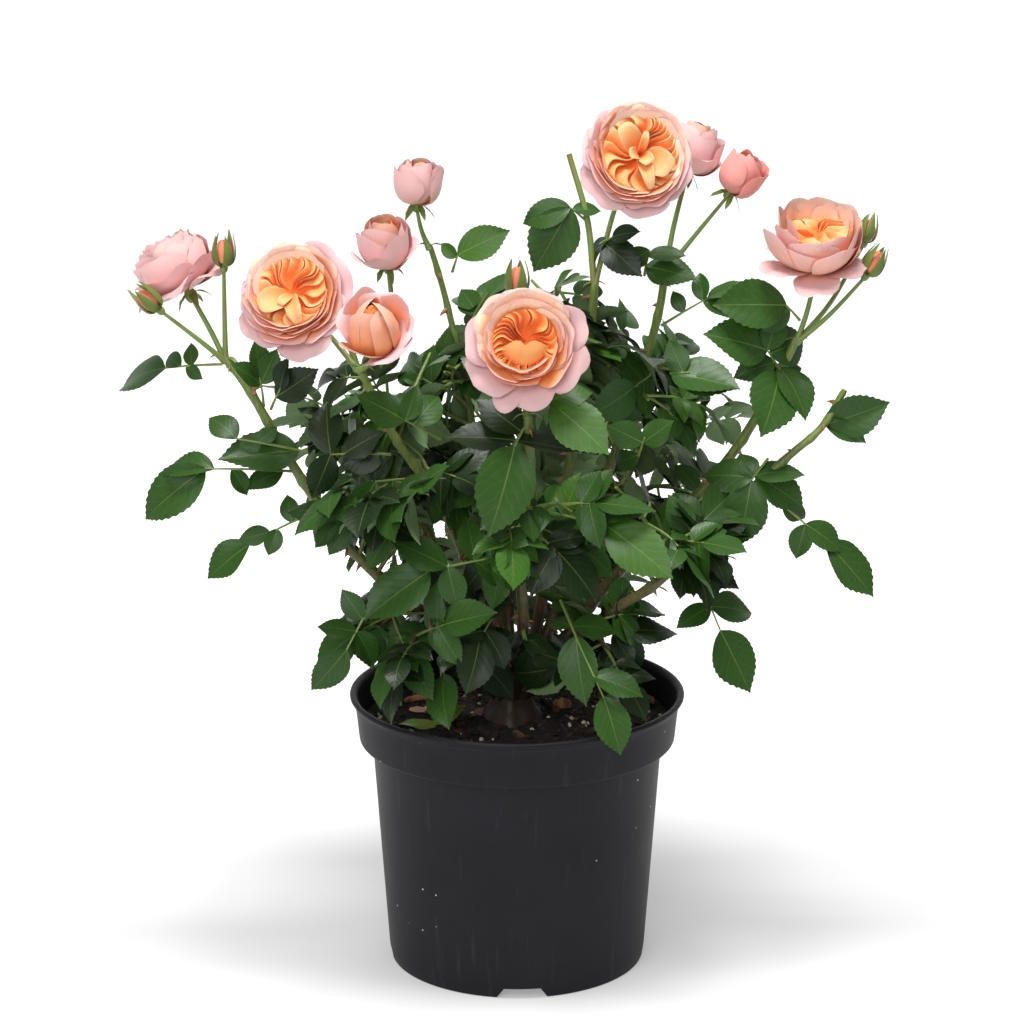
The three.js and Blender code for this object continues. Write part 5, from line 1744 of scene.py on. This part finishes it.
def thorn_tree():
    """Prickles on a cane's faces: a broad foot and a point that hooks down."""
    tree, given, spots = scatter_tree("Thorns", {"Length": "Float"}, over_compost)
    # The cone is 1 long; its point is pushed sideways, so that it hooks.
    cone = node(
        tree,
        "GeometryNodeMeshCone",
        {"Vertices": 7, "Side Segments": 3, "Radius Top": 0.03, "Radius Bottom": 0.34, "Depth": 1.0},
        fill_type="TRIANGLE_FAN",
    )
    spot = node(tree, "GeometryNodeInputPosition")
    axes = node(tree, "ShaderNodeSeparateXYZ", {"Vector": spot})
    hook = node(tree, "ShaderNodeMath", {0: axes.outputs["Z"], 1: 2.0}, operation="POWER")
    shove = node(tree, "ShaderNodeMath", {0: hook, 1: -0.38}, operation="MULTIPLY")
    squeeze = node(tree, "ShaderNodeMath", {0: axes.outputs["X"], 1: -0.45}, operation="MULTIPLY")
    moved = node(tree, "ShaderNodeCombineXYZ", {"X": squeeze, "Y": shove, "Z": -0.08})
    hooked = node(tree, "GeometryNodeSetPosition", {"Geometry": cone, "Offset": moved})
    outwards = node(tree, "FunctionNodeAlignRotationToVector", {"Vector": spots.outputs["Normal"]}, axis="Z")
    upright = node(
        tree,
        "FunctionNodeAlignRotationToVector",
        {"Rotation": outwards, "Vector": (0.0, 0.0, 1.0)},
        axis="Y",
        pivot_axis="Z",
    )
    size = node(
        tree, "FunctionNodeRandomValue", {2: 0.55, 3: 1.0, "Seed": given.outputs["Seed"]}, data_type="FLOAT"
    )
    lengths = {0: size.outputs[1], 1: given.outputs["Length"]}
    scaled = node(tree, "ShaderNodeMath", lengths, operation="MULTIPLY")
    instances = node(
        tree,
        "GeometryNodeInstanceOnPoints",
        {
            "Points": spots,
            "Instance": hooked,
            "Rotation": upright,
            "Scale": scaled,
        },
    )
    finish_tree(tree, instances, given.outputs["Material"])
    return tree


def litter_tree(name, flakes):
    """Chips or beads strewn on the compost: flakes are thin and long, beads are lumpy balls."""
    tree, given, spots = scatter_tree(name, {"Smallest": "Float", "Largest": "Float"})
    ball = node(tree, "GeometryNodeMeshIcoSphere", {"Radius": 0.5, "Subdivisions": 2})
    turned_by = node(
        tree,
        "FunctionNodeRandomValue",
        {0: (-0.5, -0.5, 0.0), 1: (0.5, 0.5, 6.28), "Seed": given.outputs["Seed"]},
        data_type="FLOAT_VECTOR",
    )
    shape = (0.55, 0.28, 0.09) if flakes else (0.7, 0.7, 0.6)
    shape_most = (1.0, 0.62, 0.2) if flakes else (1.0, 1.0, 0.9)
    stretch = node(
        tree, "FunctionNodeRandomValue", {0: shape, 1: shape_most, "Seed": 7}, data_type="FLOAT_VECTOR"
    )
    size = node(
        tree,
        "FunctionNodeRandomValue",
        {2: given.outputs["Smallest"], 3: given.outputs["Largest"], "Seed": 5},
        data_type="FLOAT",
    )
    scaled = node(tree, "ShaderNodeVectorMath", {0: stretch, "Scale": size.outputs[1]}, operation="SCALE")
    instances = node(
        tree,
        "GeometryNodeInstanceOnPoints",
        {
            "Points": spots,
            "Instance": ball,
            "Rotation": turned_by,
            "Scale": scaled,
        },
    )
    real = node(tree, "GeometryNodeRealizeInstances", {"Geometry": instances})
    # Breaks the round outline, so that no two are alike.
    rough = node(tree, "ShaderNodeTexNoise", {"Scale": 260.0 if flakes else 420.0, "Detail": 2})
    middle = {0: rough.outputs["Color"], 1: (0.5, 0.5, 0.5)}
    centred = node(tree, "ShaderNodeVectorMath", middle, operation="SUBTRACT")
    shaken = node(
        tree, "ShaderNodeVectorMath", {0: centred, "Scale": 0.006 if flakes else 0.0035}, operation="SCALE"
    )
    broken = node(tree, "GeometryNodeSetPosition", {"Geometry": real, "Offset": shaken})
    finish_tree(tree, broken, given.outputs["Material"])
    return tree


def scattered(name, ground, tree, values):
    """The mesh that a geometry tree makes on a ground mesh. Values are by the name of the tree's inputs."""
    carrier = bpy.data.objects.new(name, ground.copy())
    bpy.context.scene.collection.objects.link(carrier)
    modifier = carrier.modifiers.new(name, "NODES")
    modifier.node_group = tree
    for item in tree.interface.items_tree:
        if item.in_out == "INPUT" and item.name in values:
            modifier[item.identifier] = values[item.name]
    mesh = realized(carrier)
    bpy.data.objects.remove(carrier)
    return mesh


# ---- Operators -------------------------------------------------------------------------------------
class ROSE_OT_pot(bpy.types.Operator):
    """Builds the moulded pot"""

    bl_idname = "rose.pot"
    bl_label = "Pot"

    def execute(self, context):
        shape = Shape()
        turned(shape, pot_profile(), POT_SEGMENTS)
        piece = place_piece(
            "nursery_pot",
            shape.mesh("nursery_pot", POT_SHARP),
            [polypropylene(context.scene.rose_pot)],
            ["pot"],
        )
        foot = NOTCH_WIDTH / 2 + NOTCH_SPLAY
        top = NOTCH_WIDTH / 2
        outline = [(-foot, -1), (foot, -1), (top, NOTCH_HEIGHT), (-top, NOTCH_HEIGHT)]
        turns = [NOTCH_TURN + i * 2 * math.pi / NOTCH_COUNT for i in range(NOTCH_COUNT)]
        cutters = [prism(outline, NOTCH_DEPTH, turn, CHANNEL_RADIUS - 4) for turn in turns]
        for i in range(DRAIN_COUNT):
            angle = (i + 0.5) * 2 * math.pi / DRAIN_COUNT
            centre = (DRAIN_FROM_AXIS * math.cos(angle) * MM, DRAIN_FROM_AXIS * math.sin(angle) * MM, 0)
            form = bmesh.new()
            sizes = {"radius1": DRAIN_RADIUS * MM, "radius2": DRAIN_RADIUS * MM, "depth": 3 * FLOOR_TOP * MM}
            bmesh.ops.create_cone(form, cap_ends=True, segments=24, **sizes)
            bmesh.ops.translate(form, verts=form.verts, vec=centre)
            drill = bpy.data.meshes.new("drill")
            form.to_mesh(drill)
            form.free()
            cutters.append(drill)
        cut(piece, cutters)
        piece.data.polygons.foreach_set("use_smooth", np.ones(len(piece.data.polygons), bool))
        piece.data.set_sharp_from_angle(angle=math.radians(POT_SHARP))
        return {"FINISHED"}


class ROSE_OT_soil(bpy.types.Operator):
    """Builds the compost with its bark chips and perlite"""

    bl_idname = "rose.soil"
    bl_label = "Compost"

    def execute(self, context):
        looks = context.scene.rose_soil
        mesh = soil_shape().mesh("compost", 80)
        place_piece("peat_compost", mesh, [peat(looks)], ["compost"])
        top = bmesh.new()
        top.from_mesh(mesh)
        lower = (SOIL_SURFACE - 6) * MM
        outer = STREWN_RADIUS * MM
        low = {f for f in top.faces if min(v.co.z for v in f.verts) < lower}
        stray = [f for f in top.faces if f in low or f.calc_center_median().xy.length > outer]
        bmesh.ops.delete(top, geom=stray, context="FACES")
        ground = bpy.data.meshes.new("ground")
        top.to_mesh(ground)
        top.free()
        chips = (looks.chips, CHIP_LENGTHS, 4, chip_bark(looks))
        self.strew("bark_chips", "bark", ground, litter_tree("Bark chips", True), *chips)
        place_piece("wood_lumps", wood_lumps(), [split_wood(looks)])
        beads = (looks.beads, BEAD_WIDTHS, 9, perlite_stone(looks))
        self.strew("perlite_beads", "compost", ground, litter_tree("Perlite", False), *beads)
        return {"FINISHED"}

    def strew(self, piece, slot, ground, litter, number, sizes, seed, material):
        """Strews chips or beads over the ground, smallest and largest in millimetres, as one piece."""
        values = {
            "Per square metre": number / (math.pi * (STREWN_RADIUS * MM) ** 2),
            "Smallest": sizes[0] * MM,
            "Largest": sizes[1] * MM,
            "Seed": seed,
            "Material": material,
        }
        place_piece(piece, scattered(piece, ground, litter, values), [])


class ROSE_OT_wood(bpy.types.Operator):
    """Builds the stump, the canes and their thorns, and the flower stalks"""

    bl_idname = "rose.wood"
    bl_label = "Canes and stalks"

    def execute(self, context):
        looks = context.scene.rose_wood
        rng = np.random.default_rng(21)
        shape = Shape()
        add_stump(shape, rng)
        for name in CANES:
            add_cane(shape, name, rng)
        bark = cane_skin(looks)
        canes = shape.mesh("canes", 70)
        place_piece("rose_canes", canes, [bark], ["stump", *CANES])
        area = sum(p.area for p in canes.polygons)
        metres = sum(len(line) * PATH_STEP * MM for line in CANE_LINES.values())
        thorns = scattered(
            "thorns",
            canes,
            thorn_tree(),
            {
                "Per square metre": looks.thorns_per_metre * metres / area,
                "Length": looks.thorn_length * MM,
                "Seed": 6,
                "Material": thorn_skin(looks),
            },
        )
        place_piece("thorns", thorns, [])
        stalks = Shape()
        for name in TRUSSES:
            add_truss(stalks, name)
        place_piece("flower_stalks", stalks.mesh("stalks", 70), [stalk_skin(looks)], list(TRUSSES))
        return {"FINISHED"}


class ROSE_OT_leaves(bpy.types.Operator):
    """Grows the leaves of each mass and spray, with their twigs"""

    bl_idname = "rose.leaves"
    bl_label = "Leaves"

    def execute(self, context):
        looks = context.scene.rose_leaves
        wood = context.scene.rose_wood
        waxed = looks.roughness
        skins = [
            # The first skin is painted shade: the same leaf in a darker copy of its green.
            leaf_skin("Rose leaf, painted shade", looks.painted_shade_green, looks.rib, waxed),
            leaf_skin("Rose leaf", looks.middle, looks.rib, waxed),
            leaf_skin("Rose leaf, young", looks.bright, looks.rib, waxed),
            leaf_skin("Rose leaf, underside", looks.under, looks.rib, 0.7),
        ]
        stems = Shape()
        pieces = {}
        for name, (_, _, piece) in CROWN.items():
            leaves, nodes = pieces.setdefault(piece, (Shape(), []))
            fill_mass(name, leaves, stems, looks)
            nodes.append(name)
        leaves, nodes = pieces.setdefault("foliage_sprays", (Shape(), []))
        for name in SPRAYS:
            if name in GROWN_SPRAYS:
                grow_spray(name, leaves, stems, looks)
            nodes.append(name)
        add_placed_leaves(leaves, stems)
        for piece, (leaves, nodes) in pieces.items():
            place_piece(piece, leaves.mesh(piece), skins, nodes)
        yellowed = leaf_skin("Yellowed rose leaf", looks.yellowed, looks.rib, waxed)
        place_piece("fallen_leaflets", fallen_leaflets(), [yellowed] * LEAF_CELLS)
        barks = [cane_skin(wood), stalk_skin(wood)]
        place_piece("twigs_and_petioles", stems.mesh("twigs", 70), barks)
        return {"FINISHED"}


class ROSE_OT_flowers(bpy.types.Operator):
    """Builds the blooms and buds with their hips and sepals"""

    bl_idname = "rose.flowers"
    bl_label = "Blooms and buds"

    def execute(self, context):
        looks = context.scene.rose_petals
        leaf = context.scene.rose_leaves
        wood = context.scene.rose_wood
        skins = [petal_skin(looks, *finish) for finish in FINISHES]
        closed = petal_skin(looks, *BUD_FINISH)
        kinds = {"blooms": ("open", "cupped"), "young_blooms": ("half", "opening"), "buds": ("bud",)}
        for piece, members in kinds.items():
            shape = Shape()
            names = [name for name in FLOWERS if FLOWERS[name][3] in members]
            for name in names:
                add_flower(shape, name, seeded(name))
            mesh = shape.mesh(piece, PETAL_SHARP)
            if piece == "buds":
                place_piece(piece, mesh, [closed] * PETAL_CELLS, names)
            else:
                place_piece(piece, mesh, skins, names)
        fallen = Shape()
        lying = (np.array([-70.0, 8.0, 181.0]), unit([0.1, -0.3, 0.95]), unit([1.0, -0.2, 0.0]))
        line = ((-8, 1), (-2, 0), (4, 0), (11, 2.5))
        add_petal(fallen, lying, 0.0, line, 5.5, 9, GUARD, np.random.default_rng(2), (1, 0, 0.4, 0, 0.5))
        place_piece("fallen_petal", fallen.mesh("fallen petal", PETAL_SHARP), skins)
        hips = Shape()
        for name in TRUSSES:
            add_bracts(hips, name, seeded(name))
        for name in FLOWERS:
            add_hip(hips, name, np.random.default_rng(len(name)))
        green = [
            stalk_skin(wood),
            leaf_skin("Sepal", leaf.sepal, leaf.rib, leaf.roughness),
            leaf_skin("Sepal of a bud", leaf.sepal, leaf.rib, leaf.roughness),
            leaf_skin("Sepal back", leaf.sepal_back, leaf.rib, leaf.roughness),
        ]
        place_piece("hips_and_sepals", hips.mesh("hips"), green)
        return {"FINISHED"}


SENSOR = 36  # millimetres
FOCAL_WIDTHS = 3518 / 1024  # the focal length in widths of the sensor
CAMERA_AT = (-0.0036, -2.4, 1.0)  # metres
CAMERA_PITCH = 15.55  # degrees below the horizon


class ROSE_OT_stage(bpy.types.Operator):
    """Sets the floor, the lights and the camera"""

    bl_idname = "rose.stage"
    bl_label = "Stage"

    def execute(self, context):
        looks = context.scene.rose_stage
        scene = context.scene
        paper = {
            "Base Color": (*looks.backdrop, 1),
            "Roughness": 0.95,
            "Specular IOR Level": 0.0,
            "Emission Color": (1, 1, 1, 1),
            "Emission Strength": looks.glow,
        }
        shape = Shape()
        far, near, wide, high, bend = 3.4e3, -3.2e3, 5.0e3, 3.8e3, 900
        line = [(near, 0.0), (far - bend, 0.0)]
        for turn in np.linspace(0.1, math.pi / 2, 14):
            line.append((far - bend + bend * math.sin(turn), bend - bend * math.cos(turn)))
        line += [(far, high)]
        points = [(x, y, z) for y, z in line for x in (-wide, wide)]
        loops, totals = [], []
        for i in range(len(line) - 1):
            loops += [2 * i, 2 * i + 1, 2 * i + 3, 2 * i + 2]
            totals.append(4)
        shape.add(points, loops, totals, np.zeros((len(loops), 2)), 0)
        sweep = bpy.data.objects.new("sweep", shape.mesh("sweep"))
        sweep.data.materials.append(new_material("White paper sweep", paper)[0])
        scene.collection.objects.link(sweep)

        world = bpy.data.worlds.new("surround")
        world.use_nodes = True
        surround = world.node_tree.nodes["Background"].inputs
        surround["Color"].default_value = (1, 1, 1, 1)
        surround["Strength"].default_value = looks.world
        scene.world = world
        self.light("overhead", looks.key, (1.1, 0.65), (0.0, -0.36, 2.6), (0, 0, 0.3))
        self.light("front", looks.fill, (2.0, 2.0), (-0.9, -2.6, 1.9), (0, 0, 0.4))
        self.light("backdrop", looks.behind, (2.4, 2.4), (0.0, 1.2, 1.6), (0, 3.4, 0.3))

        camera = bpy.data.cameras.new("camera")
        camera.sensor_width = SENSOR
        camera.lens = SENSOR * FOCAL_WIDTHS
        eye = bpy.data.objects.new("camera", camera)
        eye.location = CAMERA_AT
        eye.rotation_euler = (math.radians(90 - CAMERA_PITCH), 0, 0)
        scene.collection.objects.link(eye)
        scene.camera = eye
        scene.view_settings.view_transform = "Standard"
        return {"FINISHED"}

    def light(self, name, power, size, place, target):
        """One soft light, so wide and so deep, that looks at a target."""
        lamp = bpy.data.lights.new(name, "AREA")
        lamp.energy = power
        lamp.shape = "RECTANGLE"
        lamp.size, lamp.size_y = size
        thing = bpy.data.objects.new(name, lamp)
        thing.location = place
        thing.rotation_euler = (Vector(target) - Vector(place)).to_track_quat("-Z", "Y").to_euler()
        bpy.context.scene.collection.objects.link(thing)


STEPS = (ROSE_OT_stage, ROSE_OT_pot, ROSE_OT_soil, ROSE_OT_wood, ROSE_OT_leaves, ROSE_OT_flowers)


class ROSE_PT_panel(bpy.types.Panel):
    """Lists the sizes, colours and steps of the rose"""

    bl_idname = "ROSE_PT_panel"
    bl_label = "Potted rose"
    bl_space_type = "VIEW_3D"
    bl_region_type = "UI"
    bl_category = "Rose"

    def draw(self, context):
        layout = self.layout
        for step in STEPS:
            layout.operator(step.bl_idname)
        for name, group in GROUPS.items():
            box = layout.box()
            for field in group.__annotations__:
                box.prop(getattr(context.scene, name), field)


def register():
    """Makes the groups, operators and panel known to Blender."""
    for group in GROUPS.values():
        bpy.utils.register_class(group)
    for step in STEPS:
        bpy.utils.register_class(step)
    bpy.utils.register_class(ROSE_PT_panel)
    for name, group in GROUPS.items():
        setattr(bpy.types.Scene, name, PointerProperty(type=group))


def unregister():
    """Takes them out again."""
    for name in GROUPS:
        delattr(bpy.types.Scene, name)
    bpy.utils.unregister_class(ROSE_PT_panel)
    for step in reversed(STEPS):
        bpy.utils.unregister_class(step)
    for group in reversed(GROUPS.values()):
        bpy.utils.unregister_class(group)


CANE_LINES = {name: cane_path(name) for name in CANES}


def main():
    """Runs every step in order."""
    register()
    for step in STEPS:
        getattr(bpy.ops.rose, step.bl_idname.removeprefix("rose."))()


if __name__ == "__main__":
    main()
